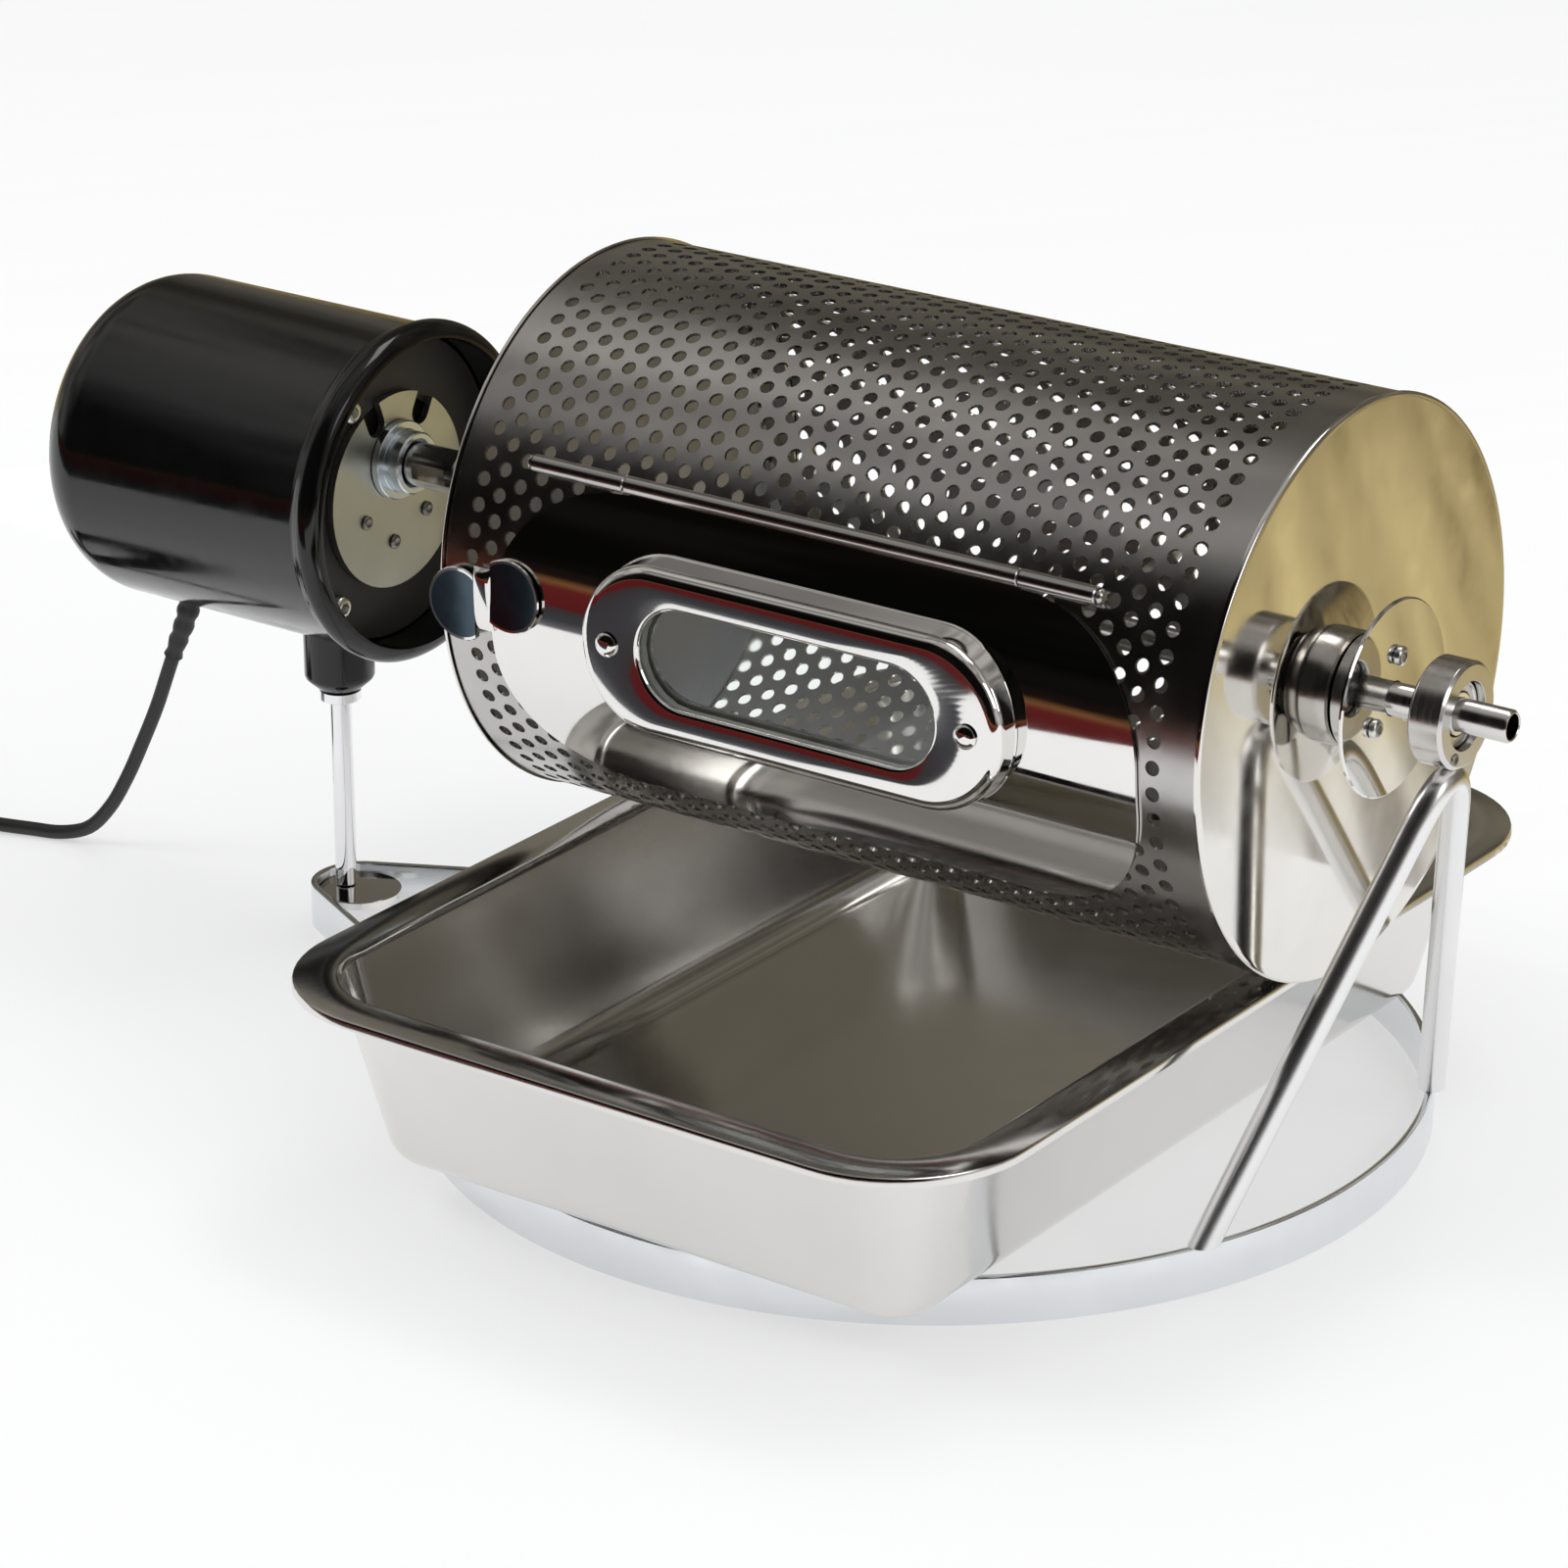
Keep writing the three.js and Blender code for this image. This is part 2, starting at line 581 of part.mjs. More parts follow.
// Geared motor, held by its plate on pillars inside the housing
function makeGearmotor() {
  const g = gearbox
  const shaftZ = axisHeight - motor.axisZ
  const plateBack = g.plateX - g.plateThickness
  let plate = solid(ring(plateBack, g.plateX, g.plateHole, g.plateRadius, 48))
  const screws = plateScrewPlaces.map(([y, z], i) => {
    const seat = g.plateX + seatGap
    const screw = turned([
      [g.plateX - g.screwLength, 0], [g.plateX - g.screwLength, g.screwRadius], [seat, g.screwRadius],
      [seat, g.headRadius], [seat + g.headHeight * 0.6, g.headRadius],
      [seat + g.headHeight, g.headRadius * 0.6], [seat + g.headHeight, 0]], 16)
    plate = plate.subtract(solid(moved(rod(plateBack - overrun, g.plateX + overrun,
      g.screwRadius + seatGap, 12), 0, y, z)))
    return piece(`plate_screw_${i + 1}`, moved(screw, 0, y, z), zinc())
  })
  const faceBack = g.plateX + seatGap
  const faceFront = faceBack + g.faceThickness
  const faceZ = -g.faceDrop
  const caseFront = plateBack - seatGap
  const shaftHole = shaftRadius + runningGap
  const boreBack = caseFront - g.caseLength * g.boreShare
  const bore = solid(moved(rod(boreBack, faceFront + overrun, shaftHole, 20), 0, 0, shaftZ))
  let face = solid(moved(rod(faceBack, faceFront, g.faceRadius, 56), 0, 0, faceZ)).subtract(bore)
  for (const degrees of g.notchAngles) {
    const y = (g.faceRadius - g.notchSink) * cos(radians(degrees))
    const z = faceZ + (g.faceRadius - g.notchSink) * sin(radians(degrees))
    const slot = new THREE.BoxGeometry(g.faceThickness + 2 * overrun, 2 * g.notchRadius, 2 * g.notchSink)
    slot.translate(0, 0, g.notchSink).rotateX(radians(degrees - 90))
    const pit = rod(faceBack - overrun, faceFront + overrun, g.notchRadius, 16)
    face = face.subtract(solid(moved(pit, 0, y, z)))
      .subtract(solid(moved(slot, (faceBack + faceFront) / 2, y, z)))
  }
  let gearCase = solid(rod(caseFront - g.caseLength, caseFront, g.caseRadius, 48)).subtract(bore)
  const rivets = g.rivetAngles.map((degrees, i) => {
    const y = g.rivetCircle * cos(radians(degrees))
    const z = g.rivetCircle * sin(radians(degrees))
    const rivet = turned([
      [faceFront - g.rivetLength, 0], [faceFront - g.rivetLength, g.rivetShank],
      [faceFront + seatGap, g.rivetShank], [faceFront + seatGap, g.rivetRadius],
      [faceFront + seatGap + g.rivetHead, g.rivetRadius], [faceFront + seatGap + g.rivetHead, 0]], 14)
    const hole = solid(moved(rod(faceFront - g.rivetLength - seatGap, faceFront + overrun,
      g.rivetShank + seatGap, 12), 0, y, z))
    face = face.subtract(hole)
    gearCase = gearCase.subtract(hole)
    return piece(`gear_rivet_${i + 1}`, moved(rivet, 0, y, z), zinc())
  })
  const canFront = caseFront - g.caseLength - seatGap
  const can = rod(canFront - g.canLength, canFront, g.canRadius, 40)
  const bushBack = faceFront + seatGap
  const bushStep = bushBack + g.bushBase
  const bushFront = bushStep + g.noseLength
  const recessX = coupling.startX - seatGap
  const bush = turned([
    [bushBack, shaftHole], [bushBack, g.bushRadius], [bushStep, g.bushRadius],
    [bushStep, g.noseRadius], [bushFront, g.noseRadius], [bushFront, g.recessRadius],
    [recessX, g.recessRadius], [recessX, shaftHole], [bushBack, shaftHole]], 28)
  const unit = [
    piece('motor_plate', plate, blackMatt()),
    ...screws,
    piece('gear_face_plate', face, zinc()),
    ...rivets,
    piece('gear_case', gearCase, blackMatt()),
    piece('motor_can', can, darkSteel()),
    piece('output_bushing', moved(bush, 0, 0, shaftZ), brushed()),
  ]
  for (const mesh of unit) mesh.position.z = motor.axisZ
  return unit
}

// Output shaft and its slotted coupling, on the drum's axis
function makeCoupling() {
  const c = coupling
  const slotX = c.endX - c.slotDepth
  const shaftEnd = slotX - c.web
  const caseFront = gearbox.plateX - gearbox.plateThickness - seatGap
  const shaftStart = caseFront - gearbox.caseLength * gearbox.boreShare + seatGap
  const output = rod(shaftStart, shaftEnd, shaftRadius, 24)
  const bore = solid(rod(c.startX - overrun, shaftEnd + seatGap, shaftRadius + seatGap, 24))
  const slot = new THREE.BoxGeometry(c.slotDepth + overrun, 4 * c.radius, c.slotHeight)
  const sleeve = solid(rod(c.startX, c.endX, c.radius, 32))
    .subtract(bore)
    .subtract(solid(moved(slot, slotX + (c.slotDepth + overrun) / 2, 0, 0)))
  return [
    piece('output_shaft', output, chrome()),
    piece('coupling_sleeve', sleeve, brushed()),
  ]
}

// Drum: shell, end caps, hubs, shaft, disc and mixing vanes
function makeShell() {
  const wall = solid(ring(-shellEnd, shellEnd, drumRadius - drumWall, drumRadius, 96))
  const inset = door.lap
  const rows = roundedRows(door.halfLength - inset, door.halfArc - inset, door.cornerRadius - inset,
    door.centreAngle, door.rows)
  const opening = solid(bentPlate(rows, drumRadius - overrun, drumRadius + overrun))
  return piece('drum_shell', wall.subtract(opening), darkSteel())
}

function capProfile(side) {
  const inner = drumEnd - cap.plate
  const spigotEnd = shellEnd - cap.spigotLength
  const spigotOuter = drumRadius - drumWall - seatGap
  const spigotInner = spigotOuter - cap.spigotWall
  const hole = shaftRadius + seatGap
  const edge = arc(drumEnd - cap.rimRound, cap.rimRadius - cap.rimRound, cap.rimRound, 0, 90, 2)
  const profile = [
    [drumEnd, hole], ...edge, [inner, cap.rimRadius], [inner, spigotOuter],
    [spigotEnd, spigotOuter], [spigotEnd, spigotInner], [inner, spigotInner], [inner, hole],
    [drumEnd, hole]]
  return profile.map(([x, radius]) => [side * x, radius])
}

function makeDisc() {
  const hubEnd = drumEnd + seatGap + hub.bearingLength
  const back = hubEnd + seatGap
  const front = back + disc.thickness
  let plate = solid(ring(back, front, shaftRadius + seatGap, disc.radius, 48))
  let seat = solid(ring(drumEnd + seatGap, hubEnd, shaftRadius + seatGap, hub.bearingRadius, 40))
  const screws = []
  for (let i = 0; i < disc.screws; i += 1) {
    const angle = radians(disc.screwAngle + 360 * i / disc.screws)
    const y = disc.screwCircle * cos(angle)
    const z = disc.screwCircle * sin(angle)
    const headBack = front + seatGap
    const tip = headBack - disc.screwLength
    const hole = solid(moved(rod(tip - seatGap, front + overrun, disc.screwRadius + seatGap, 12), 0, y, z))
    plate = plate.subtract(hole)
    seat = seat.subtract(hole)
    const screw = turned([
      [tip, 0], [tip, disc.screwRadius], [headBack, disc.screwRadius], [headBack, disc.headRadius],
      [headBack + disc.headHeight * 0.6, disc.headRadius],
      [headBack + disc.headHeight, disc.headRadius * 0.6], [headBack + disc.headHeight, 0]], 14)
    screws.push(piece(`disc_screw_${i + 1}`, moved(screw, 0, y, z), zinc()))
  }
  return [piece('bearing_hub', seat, brushed()), piece('shaft_disc', plate, polished()), ...screws]
}

function makeShaft() {
  const { boreRadius, boreDepth, chamfer, tongueLength, tongueHeight } = shaft
  const startX = coupling.endX - tongueLength + seatGap
  const turnedShaft = solid(turned([
    [startX, 0], [startX, shaftRadius], [shaftEndX - chamfer, shaftRadius],
    [shaftEndX, shaftRadius - chamfer], [shaftEndX, boreRadius],
    [shaftEndX - boreDepth, boreRadius], [shaftEndX - boreDepth, 0]], 32))
  const flatHeight = shaftRadius + overrun - tongueHeight / 2
  const flatZ = tongueHeight / 2 + flatHeight / 2
  const flat = () => new THREE.BoxGeometry(2 * tongueLength + seatGap, 4 * shaftRadius, flatHeight)
  const tongued = turnedShaft
    .subtract(solid(moved(flat(), startX, 0, flatZ)))
    .subtract(solid(moved(flat(), startX, 0, -flatZ)))
  return piece('drum_shaft', tongued, brushed())
}

function makeVane({ angle, xShare }, i) {
  const outer = drumRadius - drumWall - seatGap
  const inner = outer - vane.height
  const loops = []
  for (let k = 0; k <= vane.steps; k += 1) {
    const degrees = angle + vane.sweep * k / vane.steps
    const x = drumEnd * xShare - vane.lead * k / vane.steps
    loops.push([
      onDrum(x - vane.sheet / 2, inner, degrees), onDrum(x + vane.sheet / 2, inner, degrees),
      onDrum(x + vane.sheet / 2, outer, degrees), onDrum(x - vane.sheet / 2, outer, degrees)])
  }
  return piece(`mixing_vane_${i + 1}`, loft(loops), darkSteel())
}

function makeDrum() {
  return [
    makeShell(),
    piece('drive_end_cap', turned(capProfile(-1), cap.facets), polished()),
    piece('bearing_end_cap', turned(capProfile(1), cap.facets), polished()),
    piece('drive_hub', ring(-drumEnd - seatGap - hub.driveLength, -drumEnd - seatGap,
      shaftRadius + seatGap, hub.driveRadius, 36), brushed()),
    ...makeDisc(),
    makeShaft(),
    ...vaneStarts.map(makeVane),
  ]
}

// Door hinge: a pin through two knuckles on the shell and the door's barrel between them
function makeHingePin() {
  const { leftX, rightX, proud, pinRadius, ballRadius, barrelRadius, leafHalfLength, facets } = hinge
  const pin = turned([
    [leftX - proud, 0], [leftX - proud, ballRadius], [leftX - seatGap, ballRadius],
    [leftX - seatGap, pinRadius], [rightX + seatGap, pinRadius], [rightX + seatGap, ballRadius],
    [rightX + proud, ballRadius], [rightX + proud, 0]], facets)
  const knuckle = (startX, endX) => ring(startX, endX, pinRadius + runningGap, barrelRadius, facets)
  const parts = [
    piece('hinge_pin', pin, polished()),
    piece('hinge_knuckle_left', knuckle(leftX, -leafHalfLength - seatGap), darkSteel()),
    piece('hinge_knuckle_right', knuckle(leafHalfLength + seatGap, rightX), darkSteel()),
  ]
  for (const mesh of parts) mesh.position.set(0, hingePoint.y, hingePoint.z)
  return parts
}

// Door: plate with its rolled barrel, window frame, glass, gasket and rivets
function makeDoorPlate() {
  const rows = roundedRows(door.halfLength, door.halfArc, door.cornerRadius, door.centreAngle, door.rows)
  const topAngle = rows[rows.length - 1].angle
  const leafReach = hinge.leafHalfLength
  const leafRows = [topAngle - hinge.leafAngle, topAngle + hinge.leafAngle / 2]
    .map((angle) => ({ angle, left: -leafReach, right: leafReach }))
  const barrel = ring(-leafReach, leafReach, hinge.pinRadius + runningGap, hinge.barrelRadius, hinge.facets)
  const bore = rod(-leafReach - overrun, leafReach + overrun, hinge.pinRadius + runningGap, hinge.facets)
  const window = frontPlate(
    obround(glass.halfLength + seatGap, glass.halfHeight + seatGap, 10),
    drumRadius / 2, drumRadius + 2 * overrun)
  let plate = solid(bentPlate(rows, doorInner, doorOuter))
    .add(solid(bentPlate(leafRows, doorInner, doorOuter)))
    .add(solid(moved(barrel, 0, hingePoint.y, hingePoint.z)))
    .subtract(solid(moved(bore, 0, hingePoint.y, hingePoint.z)))
    .subtract(solid(window))
  for (const side of [-1, 1]) {
    const hole = frontRod(drumRadius / 2, drumRadius + 2 * overrun, windowRivet.shankRadius + seatGap, 14)
    plate = plate.subtract(solid(moved(hole, side * windowRivet.x, 0, 0)))
  }
  return piece('door_plate', plate, polished())
}

function frontRod(back, front, radius, facets) {
  return fromFront([[back, 0], [back, radius], [front, radius], [front, 0]], facets)
}

function makeWindowFrame() {
  const f = frameDish
  const steps = 12
  const loopAt = (inset, distance) => obround(f.halfLength - inset, f.halfHeight - inset, steps)
    .map(([x, z]) => [x, -distance, z])
  const roundLoops = [0, 0.35, 0.7, 1].map((share) => {
    const angle = share * PI / 2
    return loopAt(f.round * (1 - cos(angle)), f.faceRadius - f.round * (1 - sin(angle)))
  })
  const outer = solid(loft([loopAt(0, drumRadius / 2), ...roundLoops]))
  const innerRound = f.round - f.wall
  const innerLoops = [0, 0.5, 1].map((share) => {
    const angle = share * PI / 2
    const inset = f.wall + innerRound * (1 - cos(angle))
    return loopAt(inset, f.faceRadius - f.sheet - innerRound * (1 - sin(angle)))
  })
  const inner = solid(loft([loopAt(f.wall, drumRadius / 2 - overrun), ...innerLoops]))
  const windowHole = solid(frontPlate(
    obround(glass.halfLength, glass.halfHeight, 12), drumRadius / 2 - overrun, f.faceRadius + overrun))
  const seat = solid(rod(-drumEnd, drumEnd, doorOuter + seatGap, 96))
  let dish = outer.subtract(inner).subtract(windowHole).subtract(seat)
  for (const side of [-1, 1]) {
    const hole = frontRod(drumRadius, f.faceRadius + overrun, windowRivet.shankRadius + seatGap, 14)
    dish = dish.subtract(solid(moved(hole, side * windowRivet.x, 0, 0)))
  }
  return piece('window_frame', dish, polished())
}

function makeWindow() {
  const f = frameDish
  const glassFront = f.faceRadius - f.sheet - seatGap
  const glassBack = glassFront - glass.thickness
  const pane = frontPlate(
    obround(glass.halfLength + glass.lap, glass.halfHeight + glass.lap, 10), glassBack, glassFront)
  const gasketFront = glassBack - seatGap
  const gasketOuter = obround(glass.halfLength + glass.lap, glass.halfHeight + glass.lap, 10)
  const inset = glass.lap - gasket.width
  const gasketInner = obround(glass.halfLength + inset, glass.halfHeight + inset, 10)
  const sealRing = frontPlate(gasketOuter, gasketFront - gasket.thickness, gasketFront, [gasketInner])
  const r = windowRivet
  const rivet = fromFront([
    [doorInner - r.tailHeight - drumWall / 2, 0], [doorInner - r.tailHeight - drumWall / 2, r.headRadius],
    [doorInner - seatGap - drumWall / 2, r.headRadius], [doorInner - seatGap - drumWall / 2, r.shankRadius],
    [f.faceRadius + seatGap, r.shankRadius], [f.faceRadius + seatGap, r.headRadius],
    [f.faceRadius + seatGap + r.headHeight * 0.6, r.headRadius],
    [f.faceRadius + seatGap + r.headHeight, r.headRadius * 0.6],
    [f.faceRadius + seatGap + r.headHeight, 0]], 16)
  return [
    piece('window_glass', pane, clearGlass()),
    piece('window_gasket', sealRing, silicone()),
    piece('window_rivet_left', moved(rivet.clone(), -r.x, 0, 0), polished()),
    piece('window_rivet_right', moved(rivet.clone(), r.x, 0, 0), polished()),
  ]
}

// Latch: a sprung clip of one sheet, two dished wings joined by a raised ridge
function makeLatch() {
  const l = latch
  const floor = doorOuter + l.gap
  const onCylinder = (x, distance, z) => [x, -sqrt(distance ** 2 - z ** 2), z]
  const dished = [0, 0.35, 0.7, 1].map((share) => [floor + l.dish * share ** 2, share])
  const back = dished.slice().reverse().map(([distance, share]) => [distance + l.sheet, share])
  const wing = ({ side, reach, halfWidth, halfHeight, z }) => {
    const bowl = fromFront([...dished, ...back], l.facets)
    bowl.scale(halfWidth, 1, halfHeight).translate(side * reach, 0, z)
    const position = bowl.attributes.position
    for (let i = 0; i < position.count; i += 1) {
      position.setXYZ(i, ...onCylinder(position.getX(i), position.getY(i), position.getZ(i)))
    }
    const keep = new THREE.BoxGeometry(4 * reach, 4 * drumRadius, 4 * reach)
    const keepX = side * (l.ridgeHalfWidth - l.sheet / 2 + 2 * reach)
    return solid(bowl).intersect(solid(moved(keep, keepX, 0, 0)))
  }
  const arch = arc(0, 0, 1, 0, 180, 10).map(([x, y]) => [x, max(0, y) ** l.bulge])
  const strip = (halfWidth, halfHeight, height, depth) => {
    const section = [
      ...arch.map(([x, y]) => [x * halfWidth, floor + y * height]),
      [-halfWidth, floor - depth], [halfWidth, floor - depth]]
    const levels = [-1, -2 / 3, -1 / 3, 0, 1 / 3, 2 / 3, 1].map((share) => share * halfHeight)
    return solid(loft(levels.map((z) => section.map(([x, y]) => onCylinder(x, y, z)))))
  }
  const ridge = strip(l.ridgeHalfWidth, l.ridgeHalfHeight, l.ridgeHeight, 0)
    .subtract(strip(l.ridgeHalfWidth - l.sheet, l.ridgeHalfHeight + l.sheet,
      l.ridgeHeight - l.sheet, overrun))
  const clip = latchWings.map(wing).reduce((whole, part) => whole.add(part), ridge)
  const mesh = piece('latch_clip', clip, polished())
  mesh.position.set(l.x, 0, l.z)
  return mesh
}

// Tray: a pressed pan with sloped walls and a flat flange
function roundedLoop(inset, z) {
  const halfX = tray.width / 2 - inset
  const halfY = tray.length / 2 - inset
  const corner = max(tray.bottomRadius, tray.cornerRadius - inset)
  const steps = 7
  const quarter = (sx, sy, from) => arc(
    sx * (halfX - corner), sy * (halfY - corner), corner, from, from + 90, steps)
  return [...quarter(1, 1, 0), ...quarter(-1, 1, 90), ...quarter(-1, -1, 180), ...quarter(1, -1, 270)]
    .map(([x, y]) => [x + tray.centreX, y + tray.centreY, z])
}

function makeTray() {
  const t = tray
  const wallInset = (z) => t.flange + t.slope * (t.rimZ - z) / (t.rimZ - trayBottomZ)
  const fillet = [0, 0.3, 0.65, 1].map((share) => share * PI / 2)
  const rounded = (sheet, radius) => fillet.map((angle) => {
    const z = trayBottomZ + sheet + radius * (1 - cos(angle))
    return roundedLoop(wallInset(z) + sheet + radius * (1 - sin(angle)), z)
  })
  const inside = [...rounded(t.sheet, t.bottomRadius - t.sheet), roundedLoop(t.flange + t.sheet, t.rimZ)]
  const outside = rounded(0, t.bottomRadius).reverse()
  const flangeLoops = [
    roundedLoop(t.sheet, t.rimZ), roundedLoop(0, t.rimZ - t.sheet), roundedLoop(0, t.rimZ - t.lip),
    roundedLoop(t.sheet, t.rimZ - t.lip), roundedLoop(t.sheet, t.rimZ - t.sheet),
    roundedLoop(t.flange, t.rimZ - t.sheet),
  ]
  return piece('bean_tray', loft([...inside, ...flangeLoops, ...outside]), brushed())
}

// Cord, coil, tie and plug
const glandFaceZ = motor.axisZ - motor.bodyRadius - gland.below
const cordRoute = [
  [-255.5, 0, 82.9], [-255.6, 0, 80], [-257.2, 0, 75], [-260.8, 0, 67], [-264.6, 0, 58],
  [-269.2, 0, 47], [-274.9, 0, 35.5], [-281.4, -0.3, 23], [-288, -1, 12.5], [-295.4, -2.2, 5],
  [-303.8, -4.4, 2.3],
  [-313, -7.2, 2.1], [-323, -10.4, 2.2], [-333, -13, 2.5],
]

function cordCurve(lead, heading) {
  const end = lead.clone().addScaledVector(heading, seatGap)
  const before = end.clone().addScaledVector(heading, 3 * cord.radius)
  const points = [...cordRoute.map((p) => new THREE.Vector3(...p)), before, end]
  return new THREE.CatmullRomCurve3(points, false, 'centripetal')
}

function coilPoints() {
  const c = coil
  const low = cord.radius + c.floorGap
  const total = 2 * c.turns + 0.5
  const count = Math.round(total * c.stepsPerTurn)
  const points = []
  for (let i = 0; i <= count; i += 1) {
    const turn = total * i / count
    const climb = min(1, max(0, (turn - c.turns) / 0.5))
    const inwards = max(0, c.turns - turn)
    const outwards = max(0, turn - c.turns - 0.5)
    const radius = c.inner + c.pitch * (inwards + outwards)
    const angle = radians(c.startAngle) + 2 * PI * turn
    const rise = c.layer * (1 - cos(PI * climb)) / 2
    points.push(new THREE.Vector3(c.x + radius * cos(angle), c.y + radius * sin(angle), low + rise))
  }
  return points
}

function leastGap(points, radius) {
  let least = Infinity
  const skip = Math.ceil(coil.stepsPerTurn / 3)
  for (let i = 0; i < points.length; i += 1) {
    for (let j = i + skip; j < points.length; j += 1) {
      least = min(least, points[i].distanceTo(points[j]))
    }
  }
  return least - 2 * radius
}

function makeCord() {
  const turns = coilPoints()
  const [start, second] = turns
  const [beforeEnd, end] = turns.slice(-2)
  const leadHeading = start.clone().sub(second).setZ(0).normalize()
  const tailHeading = end.clone().sub(beforeEnd).setZ(0).normalize()
  const lead = start.clone().addScaledVector(leadHeading, coil.lead)
  const tail = end.clone().addScaledVector(tailHeading, coil.tail)
  const wound = [lead, ...turns, tail]
  console.log(`coil: least gap ${leastGap(turns, cord.radius).toFixed(2)} mm`)
  const free = cordCurve(lead, leadHeading)
  const freeSteps = Math.ceil(free.getLength() / cord.stepLength)
  const cordBody = tube(free, cord.radius, cord.sides, freeSteps)
  const coilBody = tube(new PointPath(wound), cord.radius, coil.sides, wound.length - 1)
  return { cordBody, coilBody, tail, tailHeading }
}

function makePlug(tail, heading) {
  const p = plug
  const section = (half, height, x) => {
    const round = min(p.round, height / 2)
    const corner = (sy, sz, from) => arc(
      sy * (half - round), sz * (height - round), round, from, from + 90, 3)
    return [...corner(1, 1, 0), ...corner(-1, 1, 90), ...corner(-1, -1, 180), ...corner(1, -1, 270)]
      .map(([y, z]) => [x, y, z])
  }
  const faceX = p.neckLength + p.length
  const body = loft([
    section(p.neckHalf, p.neckHalf, seatGap), section(p.neckHalf, p.neckHalf, p.neckLength / 2),
    section(p.halfWidth, p.halfHeight, p.neckLength), section(p.halfWidth, p.halfHeight, faceX)])
  const pin = (side) => turned([
    [faceX + seatGap, 0], [faceX + seatGap, p.pinRadius], [faceX + p.pinLength * 0.9, p.pinRadius],
    [faceX + p.pinLength, p.pinRadius / 2], [faceX + p.pinLength, 0]], 14)
    .translate(0, side * p.pinSpacing / 2, 0)
  const parts = [
    piece('plug_body', body, softBlack()),
    piece('plug_pin_1', pin(-1), chrome()),
    piece('plug_pin_2', pin(1), chrome()),
  ]
  for (const mesh of parts) {
    mesh.position.copy(tail)
    mesh.rotation.z = atan2(heading.y, heading.x)
  }
  return parts
}

function makeTie() {
  const c = coil
  const innerR = c.inner - cord.radius - tie.gap
  const outerR = c.inner + c.pitch * c.turns + cord.radius + tie.gap
  const low = c.floorGap - tie.gap
  const high = c.floorGap + c.layer + 2 * cord.radius + tie.gap
  const outline = (grow) => [
    [innerR - grow, low - grow], [outerR + grow, low - grow],
    [outerR + grow, high + grow], [innerR - grow, high + grow]]
  const loop = extruded(outline(tie.sheet), tie.width, [outline(0)])
  loop.translate(0, 0, -tie.width / 2).rotateX(PI / 2).rotateZ(radians(tie.angle))
  return piece('cord_tie', moved(loop, c.x, c.y, 0), softBlack())
}

function makeCordSet() {
  const { cordBody, coilBody, tail, tailHeading } = makeCord()
  const wallZ = motor.axisZ - motor.bodyRadius
  const glandTopZ = wallZ + motor.wall + 2 * seatGap
  const grommet = upright([
    [glandFaceZ, 0], [glandFaceZ, gland.radius], [wallZ - seatGap, gland.radius],
    [wallZ - seatGap, gland.neckRadius], [glandTopZ, gland.neckRadius],
    [glandTopZ, gland.radius], [glandTopZ + gland.above, gland.radius],
    [glandTopZ + gland.above, 0]], 20)
  return [
    piece('cord_gland', moved(grommet, gland.x, 0, 0), softBlack()),
    piece('power_cord', cordBody, softBlack()),
    piece('cord_coil', coilBody, softBlack()),
    makeTie(),
    ...makePlug(tail, tailHeading),
  ]
}

// Assembly: the machine is shifted so that the origin is under the middle of its box
const machine = new THREE.Group()
const midX = (housingBackX + shaftEndX) / 2
const frontY = tray.centreY - tray.length / 2
const backY = max(tray.centreY + tray.length / 2, base.radius)
machine.position.set(-midX, -(frontY + backY) / 2, 0)

const onAxis = new THREE.Group()
onAxis.position.z = axisHeight
machine.add(onAxis)

const bearingPieces = makeBearing()
onAxis.add(
  ...bearingPieces.fixed, ...bearingPieces.turning, ...makeCoupling(), ...makeDrum(), ...makeHingePin(),
  makeDoorPlate(), makeWindowFrame(), ...makeWindow(), makeLatch())
machine.add(
  ...makeBase(), ...makeBracket(), ...makePost(), ...makeHousing(), ...makeGearmotor(), makeTray(),
  ...makeCordSet())

const roaster = new THREE.Group()
roaster.add(machine)

export default roaster
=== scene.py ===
"""Home coffee bean roaster: a perforated drum between a geared motor and a ball bearing, with
a mirror door in its side, over a slide-out tray on an open band."""
from math import asin, atan2, cos, degrees, hypot, pi, radians, sin, sqrt, tan, tau

import bmesh
import bpy
from mathutils import Matrix, Vector


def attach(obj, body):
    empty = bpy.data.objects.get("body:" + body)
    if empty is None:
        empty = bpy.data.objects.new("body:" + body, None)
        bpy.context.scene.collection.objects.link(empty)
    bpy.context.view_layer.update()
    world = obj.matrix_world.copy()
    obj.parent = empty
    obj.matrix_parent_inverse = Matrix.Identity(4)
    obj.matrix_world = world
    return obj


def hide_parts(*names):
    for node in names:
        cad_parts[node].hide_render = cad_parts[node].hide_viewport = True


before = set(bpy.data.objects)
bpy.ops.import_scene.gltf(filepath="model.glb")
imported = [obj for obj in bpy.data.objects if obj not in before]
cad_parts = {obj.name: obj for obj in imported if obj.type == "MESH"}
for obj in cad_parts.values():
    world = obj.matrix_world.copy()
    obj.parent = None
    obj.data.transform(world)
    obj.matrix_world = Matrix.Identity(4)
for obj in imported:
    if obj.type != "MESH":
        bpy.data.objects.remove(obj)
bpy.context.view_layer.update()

# Sizes in millimetres. X runs along the drum's axis, the door faces -Y, and Y is 0 on the axis.
MM = 0.001
MACHINE_PLACE = Vector((61.5, 14, 0))
AXIS_Z = 136.3
MOTOR_Z = 128.3
ON_AXIS = (0, 0, AXIS_Z)
ON_MOTOR = (0, 0, MOTOR_Z)
DRUM_RADIUS = 70
DRUM_END = 109
SHELL_END = 107.5
SHEET = 0.8
SHAFT_RADIUS = 4
GAP = 0.3
